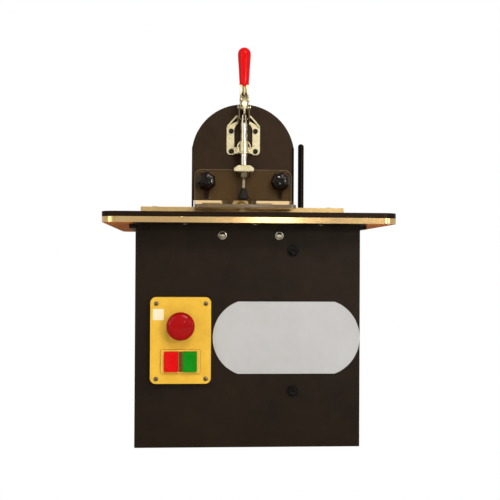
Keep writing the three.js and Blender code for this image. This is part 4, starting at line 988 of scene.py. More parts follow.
@dataclass
class Bracket(Assembly):
    """Arched plate behind the fence face, with folded flanges and feet."""

    half: float = 81.5
    height: float = 181.7
    side_height: float = 112.8
    arch: float = 82.0
    thickness: float = 3.0
    window: float = 28.0
    flange_depth: float = 40.0
    flange_slope: float = 50.0
    flange_round: float = 9.0
    foot: Point = (25.0, 24.0)
    foot_round: float = 4.0
    foot_screw: float = 16.0
    foot_screw_rows: Point = (-7.0, 4.0)
    foot_head: Triple = (4.0, 2.4, 1.0)
    boss: Profile = ((3.3, 0.0), (6.0, 0.0), (6.0, 7.0), (3.3, 7.0))
    boss_sunk: float = 1.0
    knob: Point = (58.5, 57.2)

    def build(self) -> None:
        """Makes the folded plate in one piece, and the screws of its feet."""
        self.add("arched_plate", self.folded(), BRACKET_COAT, "clamp_bracket", ease=0.7)
        top = AT.table_top + AT.gap + self.thickness
        for side, name in SIDES:
            for row, y in enumerate(self.foot_screw_rows, 1):
                place = (side * (self.half - self.foot_screw), y, top)
                self.add(f"foot_screw_{name}_{row}", screw_head(place, Axis.UP, *self.foot_head),
                         BRIGHT_STEEL)

    def folded(self) -> Mesh:
        """Joins the plate, its flanges, feet and bosses.

        Returns:
            The mesh.
        """
        floor, low = AT.table_top + AT.gap, AT.table_top + self.window
        side, center = AT.table_top + self.side_height, AT.table_top + self.height - self.arch
        start = math.asin((side - center) / self.arch)
        arch = [(-self.half, low), (self.half, low), (self.half, side),
                *arc((0, center), self.arch, start, math.pi - start, 64), (-self.half, side)]
        pieces = []
        room_top = floor + AT.fence_height + AT.gap
        room_back = AT.fence_face + AT.fence_depth + AT.gap
        back = AT.fence_face + self.flange_depth
        flange = rounded(
            [(AT.fence_face, room_top), (room_back, room_top), (room_back, floor), (back, floor),
             (back, side - self.flange_slope), (AT.fence_face, side)],
            [0, 0, 0, 0, self.flange_round, 0])
        inner = self.half - self.thickness
        for sign in (-1, 1):
            pieces.append(slab(Plane.SIDE, [flange], *sorted((sign * inner, sign * self.half))))
            left, right = sorted((sign * (inner + 1), sign * (inner - self.foot[0])))
            front, bend = back - self.foot[1], self.foot_round
            outline = rounded([(left, front), (right, front), (right, back), (left, back)],
                              [bend, 0, 0, bend] if sign > 0 else [0, bend, bend, 0], 5)
            pieces.append(slab(Plane.FLOOR, [outline], floor, floor + self.thickness))
            place = (sign * self.knob[0], AT.plate_back - self.boss_sunk,
                     AT.table_top + self.knob[1])
            pieces.append(turned(Axis.BACK, place, self.boss, 40))
        return joined(slab(Plane.FRONT, [arch], AT.fence_face, AT.plate_back), *pieces)


@dataclass
class Guard(Assembly):
    """Clear bent sheet with two slots and a hole for the clamp's tip, held by two star knobs."""

    half: float = 77.2
    bottom: float = 347.2
    top: float = 411.6
    thickness: float = 5.0
    reach: float = 78.0
    corner: float = 11.0
    leg_corner: float = 8.0
    bend: float = 6.0
    inner_bend: float = 1.5
    tip_hole: float = 15.0
    slot: Triple = (3.75, 364.6, 398.2)
    notch: Point = (3.8, 9.8)
    notch_round: float = 2.0
    notch_room: float = 0.2
    knob: Point = (58.5, 391.8)
    lobes: Flutes = Flutes(7, 0.07, 14, 34, 1.3)
    rim: Triple = (0.9, 0.06, 0.3)
    star: Profile = ((3.1, 0.0), (7.0, 0.0), (7.0, 3.0), (11.5, 3.2), (15.0, 5.0), (15.0, 9.5),
                     (13.0, 13.4), (8.6, 14.6), (6.6, 14.8), (6.0, 16.0), (0.0, 16.0))
    stud: Profile = ((0.0, 1.5), (3.0, 1.5), (3.0, -16.6), (2.4, -17.6), (0.0, -17.6))
    body: str = "guard"

    def build(self) -> None:
        """Makes the sheet and its edges, then each knob with its stud."""
        self.add("guard_sheet", self.sheet(), SMOKED_SHEET, "guard_shield", ease=0.5)
        self.edges()
        for side, name in SIDES:
            origin = (side * self.knob[0], AT.clamp_back - self.thickness - AT.gap, self.knob[1])
            star = turned(Axis.FORWARD, origin, eased(self.star, 1.8, 4), 112, self.lobes.factor)
            self.add(f"star_knob_{name}", star, KNOB_PLASTIC, f"guard_knob_{name}",
                     body=f"{name}_knob", crease=60)
            self.add(f"knob_stud_{name}", turned(Axis.FORWARD, origin, self.stud, 24),
                     BRIGHT_STEEL, body=f"{name}_knob")

    def edges(self) -> None:
        """Makes the sawn edge rings round the upright part and the leg, opaque and lighter than
        the sheet: painted light along the sheet's edges.
        """
        rim, proud, square = self.rim
        back, front = AT.clamp_back, AT.clamp_back - self.thickness
        tip, half = AT.fence_face - self.reach - proud, self.half + proud
        foot = self.bottom + self.thickness
        for name, plane, low, high, radius, steps, depth in (
                ("upright", Plane.FRONT, foot, self.top + proud, self.corner, 10,
                 (front - proud, back + proud)),
                ("leg", Plane.FLOOR, tip, front, self.leg_corner, 8,
                 (self.bottom - proud, foot + proud))):
            loops = []
            for n in (0.0, rim):
                radii = [square, square, radius - n, radius - n]
                corners = [(-half + n, low + n), (half - n, low + n), (half - n, high - n),
                           (-half + n, high - n)]
                loops.append(rounded(corners, radii if name == "upright" else radii[::-1], steps))
            ring = cut(slab(plane, loops, *depth), self.drill_notch(self.notch_room))
            self.add(f"guard_{name}_edge", ring, LIT_EDGE_RING, ease=0.25)

    def drill_notch(self, room: float = 0.0) -> Mesh:
        """Gives the cutter of the drill bit's notch.

        Args:
            room: how much wider and higher than the sheet's own notch it is.

        Returns:
            The cutter's mesh, through the upright part and 2 mm into the leg.
        """
        w, low, high = self.notch[0] + room, self.bottom - PAST, self.bottom + self.notch[1] + room
        outline = rounded([(-w, low), (w, low), (w, high), (-w, high)],
                          [0, 0, self.notch_round, self.notch_round], 5)
        return slab(Plane.FRONT, [outline], AT.clamp_back - self.thickness - 2,
                    AT.clamp_back + PAST)

    def sheet(self) -> Mesh:
        """Bends the sheet, rounds its corners and cuts its slots and hole.

        Returns:
            The mesh.
        """
        back, front = AT.clamp_back, AT.clamp_back - self.thickness
        tip, leg_top = AT.fence_face - self.reach, self.bottom + self.thickness
        under, half = self.bottom - PAST, self.half
        outline = rounded(
            [(tip, self.bottom), (back, self.bottom), (back, self.top), (front, self.top),
             (front, leg_top), (tip, leg_top)], [0, self.bend, 0, 0, self.inner_bend, 0], 8)
        upright = rounded([(-half, under), (half, under), (half, self.top), (-half, self.top)],
                          [0, 0, self.corner, self.corner], 10)
        flat = rounded([(-half, tip), (half, tip), (half, back + PAST), (-half, back + PAST)],
                       [self.leg_corner, self.leg_corner, 0, 0], 8)
        bent = shared(slab(Plane.SIDE, [outline], -half, half),
                      slab(Plane.FRONT, [upright], tip - PAST, back + PAST),
                      slab(Plane.FLOOR, [flat], under, self.top + PAST))
        hole = slab(Plane.FLOOR, [circle((0, AT.clamp_axis), self.tip_hole, 64)], under,
                    self.bottom + PAST)
        room = slab(Plane.FRONT, [rectangle((-40, self.bottom - 20), (40, self.top))], front,
                    back + 20)
        w, low, high = self.slot
        slots = [slab(Plane.FRONT, [rectangle((x - w, low), (x + w, high), w - 0.1, 10)],
                      front - PAST, back + PAST) for x in (-self.knob[0], self.knob[0])]
        return cut(bent, cut(hole, room), self.drill_notch(), *slots)


@dataclass
class ToggleClamp(Assembly):
    """Straight-line toggle clamp on the arched plate; heights count from its foot."""

    axis: Point = (0.0, AT.clamp_axis)
    foot: float = AT.clamp_foot
    half: float = 26.5
    shoulder: float = 45.0
    peak: Point = (10.5, 63.5)
    strip_rounds: tuple[float, ...] = (1.0, 6.0, 3.0, 1.0, 0.0)
    arch: Point = (14.6, 38.5)
    sheet: float = 2.5
    window: Profile = ((9.3, 54.4), (23.6, 46.9), (9.3, 61.3))
    window_rounds: Triple = (0.8, 0.6, 0.8)
    lip: Triple = (2.2, 3.2, 0.5)
    lip_ends: Profile = ((-0.3, 1.2), (1.0, -0.6))
    ear: Point = (6.8, 8.8)
    ear_foot: float = 50.0
    ear_front: float = 5.0
    web: Triple = (10.3, 11.0, 9.3)
    web_half: float = 3.0
    barrel: Profile = ((9.2, 0.6), (9.2, 2.4), (7.3, 3.2), (7.3, 19.2), (6.7, 20.0))
    lug: tuple[float, float, float, float] = (14.9, 1.2, 11.2, 1.2)
    shaved: Profile = ((-15.2, -9.0), (15.2, 5.2))
    spared: Profile = ((-11.0, -12.0), (11.0, 12.0))
    hole: tuple[float, float, float, float] = (19.25, 6.2, 38.2, 2.5)
    screw: Profile = ((0.0, -9.0), (2.2, -9.0), (2.2, 0.3), (4.0, 0.3), (4.0, 1.9), (3.2, 2.7),
                      (1.7, 2.9), (1.7, 1.4), (0.0, 1.2))
    plunger: float = 5.0
    plunger_ends: Point = (-18.0, 61.8)
    plunger_foot: Profile = ((-5.0, 0.0), (-0.8, 0.0), (0.0, 0.8))
    plunger_head: Profile = ((0.0, -0.9), (-0.9, 0.0), (-5.0, 0.0))
    fork: Triple = (1.8, 13.5, 1.7)
    pin_height: float = 55.0
    pin: Profile = ((0.0, -5.5), (2.0, -5.5), (2.0, 5.5), (0.0, 5.5))
    link: Triple = (6.0, 3.5, 2.3)
    link_thickness: Point = (1.5, 3.1)
    link_room: Profile = ((-14.0, -12.0), (14.0, 7.0))
    handle: Triple = (6.5, 4.5, 6.0)
    handle_foot: float = 5.5
    handle_bends: Point = (8.0, 22.0)
    handle_eye: float = 2.8
    tang: Triple = (4.5, 3.0, 78.0)
    crank: Triple = (13.0, math.radians(30), 4.5)
    ridge: Profile = ((0.0, 18.5), (1.4, 19.2), (2.1, 21.5), (2.1, 38.9), (0.8, 39.7), (0.0, 39.7))
    stub: Profile = ((2.5, 0.0), (3.4, 0.01), (3.2, 0.9), (0.0, 1.2))
    grip_start: float = 35.8
    grip: Profile = ((5.2, 0.2), (6.9, 0.0), (7.6, 0.9), (7.7, 2.6), (7.5, 3.8), (7.9, 9.0),
                     (8.9, 26.0), (9.9, 40.0), (10.25, 46.0), *dome(10.2, 49.0, 10.5, 16))
    grip_socket: Profile = ((0.0, -3.0), (3.0, -3.0), (3.0, 3.4), (2.2, 5.0), (0.0, 5.8))
    rivet: Profile = ((3.0, 0.0), (4.0, 0.2), (3.9, 0.8), (2.6, 1.5), (0.0, 1.6))
    arm: Profile = ((-15.5, -9.6), (15.5, -9.6), (15.5, -4.4), (9.5, 0.0), (-9.5, 0.0),
                    (-15.5, -4.4))
    arm_rounds: tuple[float, ...] = (1.6, 1.6, 1.0, 1.6, 1.6, 1.0)
    arm_half: float = 6.5
    bore: float = 3.3
    nut: Triple = (9.5, -9.4, -1.8)
    nut_chamfer: Profile = ((0.0, 0.0), (8.4, 0.0), (9.7, 0.9), (9.7, 6.8), (8.6, 7.6), (0.0, 7.6))
    nut_washer: Profile = ((3.4, -1.6), (11.4, -1.6), (11.4, 0.0), (3.4, 0.0))
    rod_length: float = 43.6
    thread: Profile = ((2.55, 0.0), (3.0, 0.3), (3.0, 0.5), (2.55, 0.8))
    tip_below: float = 9.4
    tip: Profile = ((0.0, 0.6), (6.6, 0.6), (7.4, 0.0), (8.5, 0.8), (8.5, 4.0), (6.4, 7.5),
                    (5.0, 11.5), (4.6, 15.0), (4.5, 17.4), (3.3, 17.4), (3.3, 9.2), (0.0, 9.2))

    @property
    def pivot(self) -> Point:
        """The handle's pivot in Y and Z."""
        return (self.axis[1], AT.clamp_pivot)

    @property
    def arm_top(self) -> float:
        """Height of the spindle arm's top."""
        return self.foot + self.plunger_ends[0] - AT.gap

    @property
    def crank_pin(self) -> Point:
        """The link's upper joint in Y and Z."""
        (y, z), (reach, angle, _) = self.pivot, self.crank
        return (y - reach * math.sin(angle), z + reach * math.cos(angle))

    def build(self) -> None:
        """Makes the base, the barrel, the moving parts and the spindle."""
        for side, name in SIDES:
            self.side_plate(side, name)
        self.add("clamp_guide", self.guide(), CLAMP_ZINC, "clamp_barrel", ease=0.35)
        spots = [(side * self.hole[0], z) for z in self.hole[1:3] for side in (-1, 1)]
        for number, (x, z) in enumerate(spots, 1):
            origin = (x, AT.clamp_back - self.sheet, self.foot + z)
            head = turned(Axis.FORWARD, origin, eased(self.screw, 0.3), 30)
            self.add(f"base_screw_{number}", head, BLACK_STEEL, f"clamp_screw_{number}")
        self.slide()
        self.connector()
        self.lever()
        self.gripped()
        self.pivot_rivet()
        self.spindle()
        self.rod_and_tip()

    def side_plate(self, side: int, name: str) -> None:
        """Makes one folded base plate: its ear, and its strip with a lip.

        Args:
            side: -1 for the left plate, 1 for the right one.
            name: left or right.
        """
        foot, back, front = self.foot, AT.clamp_back, AT.clamp_back - self.sheet
        (radius, center), (peak_x, peak_z), inner = self.arch, self.peak, self.ear[0]
        mirror = Matrix.Identity(4) if side > 0 else Matrix.Scale(-1, 4, (1, 0, 0))
        (y, z), under, reach = self.pivot, foot + self.ear_foot, self.ear_front
        ear = [(back, under), (back, foot + peak_z),
               *arc((y, z), reach, QUARTER / 2, math.pi, 18), (y - reach, under + reach),
               (y, under)]
        # The ears take the darker zinc that paints their shade.
        self.add(f"clamp_ear_{name}", tilted(slab(Plane.SIDE, [ear], *self.ear), mirror),
                 SHADED_EAR_ZINC, ease=0.3)
        bow = arc((0, foot + center), radius, math.acos((inner + 0.4) / radius), 0, 12)
        outer = rounded(
            [(radius, foot + 0.8), (self.half, foot), (self.half, foot + self.shoulder),
             (peak_x, foot + peak_z), (inner, foot + peak_z)], self.strip_rounds, 8)
        holes = [circle((self.hole[0], foot + z), self.hole[3], 24) for z in self.hole[1:3]]
        window = rounded(raised(self.window, foot), self.window_rounds, 4)
        strip = slab(Plane.FRONT, [bow + outer, *holes, window], front, back)
        dx, dz = self.half - peak_x, peak_z - self.shoulder
        width, proud, sunk = self.lip
        u, v = dz / math.hypot(dx, dz) * width, dx / math.hypot(dx, dz) * width
        start, end = self.lip_ends
        low = (self.half + start[0], foot + self.shoulder + start[1])
        high = (peak_x + end[0], foot + peak_z + end[1])
        outline = [low, high, (high[0] - u, high[1] - v), (low[0] - u, low[1] - v)]
        lip = slab(Plane.FRONT, [outline], front - proud, front + sunk)
        self.add(f"clamp_side_{name}", tilted(joined(strip, lip), mirror), CLAMP_ZINC,
                 f"clamp_base_{name}", ease=0.35)

    def guide(self) -> Mesh:
        """Makes the barrel with its arched web, its foot ring and its lugs.

        Returns:
            The mesh.
        """
        foot, (x, y), bore = self.foot, self.axis, self.plunger + AT.gap
        place, (rise, outer, inner) = (x, y, foot), self.web
        tube = turned(Axis.UP, place, [(bore, 0.6), *self.barrel, (bore, 20.0)])
        bow = arc((0, foot + rise), outer, 0, math.pi, 28)
        rim = arc((0, foot + rise), inner, math.pi, 0, 28)
        band = slab(Plane.FRONT, [bow + rim], y - self.web_half, y + self.web_half)
        half, low, high, bend = self.lug
        lug = rectangle((-half, y + 0.5), (half, AT.clamp_back - self.sheet - AT.gap), bend, 4)
        outside, inside = (rectangle(*raised(spots, y)) for spots in (self.shaved, self.spared))
        hollow = cut(slab(Plane.FLOOR, [outside], foot - 1, foot + 14),
                     slab(Plane.FLOOR, [inside], foot - 4, foot + 20))
        block = cut(slab(Plane.FLOOR, [lug], foot + low, foot + high), hollow)
        room = turned(Axis.UP, place, [(0, -5), (bore, -5), (bore, 40), (0, 40)])
        return cut(joined(tube, band, block), room)

    def slide(self) -> None:
        """Makes the plunger with its fork, and the pin across it."""
        (x, y), (low, high), r = self.axis, self.plunger_ends, self.plunger
        profile = [*raised(self.plunger_foot, low, r), *raised(self.plunger_head, high, r)]
        rod = turned(Axis.UP, (x, y, self.foot), profile)
        w, deep, bend = self.fork
        low = self.foot + high - deep
        outline = rounded([(-w, low), (w, low), (w, low + 40), (-w, low + 40)],
                          [bend, bend, 0, 0])
        slot = slab(Plane.FRONT, [outline], y - PAST, y + PAST)
        self.add("plunger_rod", cut(rod, slot), BRIGHT_STEEL, "clamp_plunger", ease=0.25,
                 body="clamp_slide")
        pin = turned(Axis.X, (0, y, self.foot + self.pin_height), eased(self.pin, 0.4), 24)
        self.add("plunger_cross_pin", pin, BRIGHT_STEEL, "plunger_pin", body="clamp_slide")

    def connector(self) -> None:
        """Makes the curved link between the plunger's pin and the handle's crank."""
        y0, z0 = self.axis[1], self.foot + self.pin_height
        y1, z1 = self.crank_pin
        length = math.hypot(y1 - y0, z1 - z0)
        (rise, half, eye), (thin, thick) = self.link, self.link_thickness
        bend = (length ** 2 / 4 + rise ** 2) / (2 * rise)
        center = (bend - rise, length / 2)
        spread = math.asin(length / 2 / bend)
        low, high = math.pi - spread, math.pi + spread
        outline = [*arc(center, bend + half, high, low, 18),
                   *arc((0, length), half, low, -spread, 12)[1:],
                   *arc(center, bend - half, low, high, 18)[1:],
                   *arc((0, 0), half, spread, spread - math.pi, 12)[1:-1]]
        room = rectangle(*raised(self.link_room, length), 2.5, 4)
        head = shared(slab(Plane.SIDE, [outline], -thick, thick),
                      slab(Plane.SIDE, [room], -thick, thick))
        eyes = [slab(Plane.SIDE, [circle((0, height), eye, 20)], -PAST, PAST)
                for height in (0, length)]
        mesh = cut(joined(slab(Plane.SIDE, [outline], -thin, thin), head), *eyes)
        lean = Matrix.Rotation(math.atan2(y0 - y1, z1 - z0), 4, "X")
        self.add("toggle_link", tilted(mesh, Matrix.Translation((0, y0, z0)) @ lean), CLAMP_ZINC,
                 "clamp_link", ease=0.3, body="clamp_connector")

    def lever(self) -> None:
        """Makes the forked handle with its tongue and its tang."""
        (y, z), pin, foot = self.pivot, self.crank_pin, self.handle_foot
        half, inner, deep = self.handle
        _, angle, boss = self.crank
        top = z + self.grip_start - AT.gap
        low, high = z + self.handle_bends[0], z + self.handle_bends[1]
        outline = [(y + foot, z), (y + deep, low), (y + deep, top), (y - deep, top),
                   (y - deep, high), *arc(pin, boss, math.pi - angle, math.pi, 5),
                   *arc((y, z), foot, math.pi, FULL_TURN, 24)[:-1]]
        eye = circle((y, z), self.handle_eye, 24)
        plates = [slab(Plane.SIDE, [outline, eye], *sorted((side * inner, side * half)))
                  for side, _ in SIDES]
        web = rectangle((y - 4.4, high), (y + deep, top), 1.5, 4)
        spine = rectangle((y + 4, low), (y + deep, high + 2))
        webs = [slab(Plane.SIDE, [face], -half + 0.5, half - 0.5) for face in (web, spine)]
        tongue = turned(Axis.UP, (0, y - 4.0, 0), raised(self.ridge, z), 28)
        width, depth, end = self.tang
        tang = slab(Plane.FLOOR, [box((0, y), (width, depth), 0.8, 3)], top - 1, z + end)
        stub = [(0.0, inner - 1.0), (2.5, inner - 1.0), *raised(self.stub, half)]
        stubs = [tilted(turned(Axis.X, CENTER, stub, 24), moved_to((0, *pin), side))
                 for side, _ in SIDES]
        self.add("handle_fork", joined(*plates, *webs, tongue, tang, *stubs), HANDLE_ZINC,
                 "clamp_handle", ease=0.3, body="clamp_lever")

    def gripped(self) -> None:
        """Makes the dipped grip with the hollow that the tongue goes into."""
        (y, z), foot = self.pivot, self.grip_start
        grip = turned(Axis.UP, (0, y, z), raised(self.grip, foot), 64, self.flattened)
        hollow = turned(Axis.UP, (0, y - 4.6, z + foot), self.grip_socket, 28)
        self.add("dipped_grip", cut(grip, hollow), RED_VINYL, "handle_grip",
                 body="clamp_lever", crease=60)

    @staticmethod
    def flattened(angle: float, index: int) -> float:
        """Gives the grip's slightly flat section, wider across than deep."""
        return 1 - 0.1 * math.sin(angle) ** 2

    def pivot_rivet(self) -> None:
        """Makes the rivet that the handle turns on."""
        face = self.ear[1] + AT.gap
        end = raised(self.rivet, face)
        profile = [*((r, -h) for r, h in end[::-1]), (2.5, -face), (2.5, face), *end]
        self.add("pivot_rivet", turned(Axis.X, (0, *self.pivot), profile, 32),
                 BRIGHT_STEEL, "handle_pivot_pin")

    def spindle(self) -> None:
        """Makes the arm, and the lock nut with its washer."""
        (x, y), top = self.axis, self.arm_top
        outline = rounded(raised(self.arm, top), self.arm_rounds, 4)
        bore = circle((x, y), self.bore, 32)
        low = top + self.arm[0][1]
        arm = cut(slab(Plane.FRONT, [outline], y - self.arm_half, y + self.arm_half),
                  slab(Plane.FLOOR, [bore], low - 5, top + 5))
        self.add("spindle_bar", arm, CLAMP_ZINC, "spindle_arm", ease=0.6, body="clamp_slide")
        nut_top, (radius, foot, head) = low - AT.gap, self.nut
        nut = slab(Plane.FLOOR, [circle((x, y), radius, 6), bore], nut_top + foot, nut_top + head)
        chamfer = turned(Axis.UP, (x, y, nut_top + foot), self.nut_chamfer)
        self.add("lock_nut", shared(nut, chamfer), DARK_NUT, "spindle_nut", ease=0.2,
                 body="clamp_slide")
        washer = turned(Axis.UP, (x, y, nut_top), eased(self.nut_washer, 0.3))
        self.add("nut_washer", washer, DARK_NUT, body="clamp_slide")

    def rod_and_tip(self) -> None:
        """Makes the threaded rod and the rubber tip on its end."""
        place, top = (*self.axis, 0), self.arm_top
        height = end = top - self.rod_length
        thread: Loop = [(0.0, end)]
        while height < top - 1.2:
            thread += raised(self.thread, height)
            height += 1.0
        thread += [(2.5, top - AT.gap), (0.0, top - AT.gap)]
        self.add("threaded_rod", turned(Axis.UP, place, thread, 32), BRIGHT_STEEL,
                 "spindle_rod", body="clamp_slide", crease=60)
        tip = eased(raised(self.tip, end - self.tip_below), 0.7, 4)
        self.add("rubber_foot", turned(Axis.UP, place, tip, 56), BLACK_RUBBER, "spindle_tip",
                 body="clamp_slide", crease=50)


@dataclass
class ControlStation(Assembly):
    """Yellow control station on the front panel: cover, bezel, emergency stop, two buttons."""

    center: Point = (-96.5, 153.5)
    half: Point = (43.0, 61.3)
    corner: float = 8.0
    depth: float = 10.0
    screws: Profile = ((-131.0, 205.7), (-60.9, 205.7), (-131.0, 99.3), (-60.9, 99.3))
    screw: Triple = (3.2, 1.9, 0.9)
    sheet: float = 0.25
    sticker: tuple[Point, Point] = ((-135.9, 182.1), (-120.5, 198.1))
    stop_height: float = 174.5
    stop_stand: float = 10.0
    stop_bore: float = 8.3
    stop_stem: Point = (8.0, 16.0)
    head: Profile = ((8.0, 0.6), (17.6, 0.6), (18.4, 0.0), (20.0, 1.2), (20.0, 6.6), (19.4, 9.0),
                     (17.4, 11.2), (14.0, 12.8), (9.0, 13.7), (4.0, 14.0), (0.0, 14.0))
    collar: Profile = ((8.6, 0.0), (12.5, 0.0), (12.5, 2.4), (11.0, 3.2), (8.6, 3.2))
    button: Point = (9.85, 14.1)
    button_height: float = 123.8
    button_proud: float = 4.0
    cap_depth: float = 9.0
    stem: Point = (3.0, 10.0)
    hollow: Profile = ((0.0, -0.7), (4.0, -0.62), (7.0, -0.35), (8.6, 0.2), (8.6, 3.0), (0.0, 3.0))
    spread: float = 12.95
    bezel: Triple = (27.9, 16.6, 3.0)
    bezel_corner: float = 3.0
    gasket: Triple = (0.9, 0.4, 0.02)
    shade_band_corner: float = 3.6
    divider: Point = (2.1, 14.5)

    def build(self) -> None:
        """Makes the cover and all that sits on it."""
        back = AT.panel_front - AT.gap
        front = back - self.depth
        windows = [self.button_face(side, AT.gap, 0.8, 3) for side, _ in SIDES]
        face = box(self.center, self.half, self.corner, 8)
        bore = circle((self.center[0], self.stop_height), self.stop_bore, 40)
        self.add("station_shell", slab(Plane.FRONT, [face, bore, *windows], front, back),
                 STATION_YELLOW, "station_cover", ease=1.3)
        for number, (x, z) in enumerate(self.screws, 1):
            head = screw_head((x, front, z), Axis.FORWARD, *self.screw)
            self.add(f"station_screw_{number}", head, DARK_NUT)
        sticker = slab(Plane.FRONT, [rectangle(*self.sticker, 1.0, 3)], front - self.sheet, front)
        self.add("blank_sticker", sticker, BLANK_STICKER, ease=0.05)
        face_y = self.frame(front, windows)
        self.emergency_stop(front)
        self.push_button("stop", -1, BUTTON_RED, face_y)
        self.push_button("start", 1, BUTTON_GREEN, face_y)

    def frame(self, front: float, windows: list[Loop]) -> float:
        """Makes the buttons' bezel, the darker band round it that paints the shadow at its foot,
        and its divider.

        Args:
            front: the cover's front plane.
            windows: the buttons' openings.

        Returns:
            The bezel's front plane.
        """
        middle, (w, h, thick) = (self.center[0], self.button_height), self.bezel
        edge, low, high = self.gasket
        face_y = front - AT.gap - thick
        outline = box(middle, (w, h), self.bezel_corner)
        rim = box(middle, (w + edge, h + edge), self.shade_band_corner)
        strip = box(middle, self.divider, 0.8, 3)
        self.add("raised_bezel", slab(Plane.FRONT, [outline, *windows], face_y, front - AT.gap),
                 BEZEL_YELLOW, "button_bezel", ease=0.8)
        # The darker band round the bezel is painted shadow at its foot.
        self.add("bezel_gasket", slab(Plane.FRONT, [rim, outline], front - low, front - high),
                 BEZEL_SHADE_BAND, ease=0.1)
        self.add("bezel_divider", slab(Plane.FRONT, [strip], face_y - 0.5, face_y + 0.2),
                 BROWN_STRIP, ease=0.15)
        return face_y

    def button_face(self, side: int, room: float, bend: float, steps: int) -> Loop:
        """Gives a button's outline, or its opening where there is room round it."""
        center = (self.center[0] + side * self.spread, self.button_height)
        return box(center, (self.button[0] + room, self.button[1] + room), bend, steps)

    def emergency_stop(self, front: float) -> None:
        """Makes the mushroom button on its stem, and the collar round it.

        Args:
            front: the cover's front plane.
        """
        x, z = self.center[0], self.stop_height
        start = front - self.stop_stand
        stem_end = AT.panel_back + self.stop_stem[1] - start
        head = eased([(0.0, -stem_end), (self.stop_stem[0], -stem_end), *self.head], 0.8)
        self.add("mushroom_head", turned(Axis.FORWARD, (x, start, z), head, 64), STOP_RED,
                 "estop_button", body="emergency_stop", crease=50)
        collar = turned(Axis.FORWARD, (x, front, z), eased(self.collar, 0.5), 40)
        self.add("stop_collar", collar, BLACK_STEEL)

    def push_button(self, name: str, side: int, finish: Finish, face_y: float) -> None:
        """Makes a rectangular push button with its stem.

        Args:
            name: stop or start.
            side: -1 for the left one, 1 for the right one.
            finish: its finish.
            face_y: the bezel's front plane.
        """
        x, z = self.center[0] + side * self.spread, self.button_height
        front = face_y - self.button_proud
        cap = slab(Plane.FRONT, [self.button_face(side, 0.0, 1.4, 5)], front,
                   front + self.cap_depth)
        hollow = turned(Axis.FORWARD, (x, front, z), self.hollow, 40)
        stem = slab(Plane.FRONT, [circle((x, z), self.stem[0], 24)], front + self.cap_depth - 1,
                    AT.panel_back + self.stem[1])
        self.add(f"{name}_button_cap", joined(cut(cap, hollow), stem), finish,
                 f"{name}_button", ease=0.9, body=f"{name}_key")


@dataclass
class Badge(Assembly):
    """Bare grey plate with bowed ends on the front panel."""

    center: Point = (55.0, 156.8)
    half: Point = (106.0, 51.7)
    bow: float = 36.25
    thickness: float = 1.5

    def build(self) -> None:
        """Makes the plate."""
        (x, z), (half, high), back = self.center, self.half, AT.panel_front - AT.gap
        radius = (self.bow ** 2 + high ** 2) / (2 * self.bow)
        spread = math.asin(high / radius)
        outline = [*arc((x + half - radius, z), radius, -spread, spread, 32),
                   *arc((x - half + radius, z), radius, math.pi - spread, math.pi + spread, 32)]
        self.add("plain_plate", slab(Plane.FRONT, [outline], back - self.thickness, back),
                 PLATE_GREY, "badge_plate", ease=0.45)


@dataclass
class SwingUnit(Assembly):
    """Lever and all that swings with it on the cross shaft."""

    lever_x: float = 104.5
    lever: Triple = (5.0, 6.0, 247.0)
    hub: Profile = ((8.3, -11.0), (15.0, -11.0), (15.0, 11.0), (8.3, 11.0))
    router_place: Point = (-145.0, -80.0)
    router: Profile = ((0.0, 0.0), (20.0, 0.0), (27.0, 2.0), (30.0, 8.0))
    fin: Profile = ((30.0, 12.0), (28.6, 12.8), (28.6, 14.4), (30.0, 15.2))
    fins: int = 6
    fin_pitch: float = 5.0
    collet: Profile = ((30.0, 112.0), (27.0, 118.0), (22.0, 120.0), (10.0, 120.0), (10.0, 138.0),
                       (3.3, 138.0), (3.3, 126.0), (0.0, 126.0))
    body: str = "swing_unit"

    def build(self) -> None:
        """Makes the lever and the router, and finishes the arms and the shaft."""
        (y, z), (r, low, high) = AT.shaft, self.lever
        stick = turned(Axis.UP, (self.lever_x, y, z),
                       [(0.0, low), (r, low), (r, high), *dome(r, high, r)[1:]], 40)
        hub = turned(Axis.X, (self.lever_x, y, z), eased(self.hub, 1.0))
        bore = circle((y, z), self.hub[0][0], 48)
        room = slab(Plane.SIDE, [bore], self.lever_x - 30, self.lever_x + 30)
        self.add("lever_rod", cut(joined(stick, hub), room), LEVER_BLACKING, "lever", ease=0.5)
        self.keep(BRIGHT_STEEL, 0.3, "pivot_shaft")
        self.keep(CAST_ALUMINIUM, 0.8, "swing_arm")
        self.keep(CAST_ALUMINIUM, 0.5, "drive_arm")
        fins = [spot for i in range(self.fins) for spot in raised(self.fin, i * self.fin_pitch)]
        origin = (0, y + self.router_place[0], z + self.router_place[1])
        router = turned(Axis.UP, origin, [*self.router, *fins, *self.collet], 64)
        self.add("router_body", router, MOTOR_PLASTIC, "router_motor", ease=0.4)
        self.keep(BRIGHT_STEEL, 0.15, "pocket_cutter")


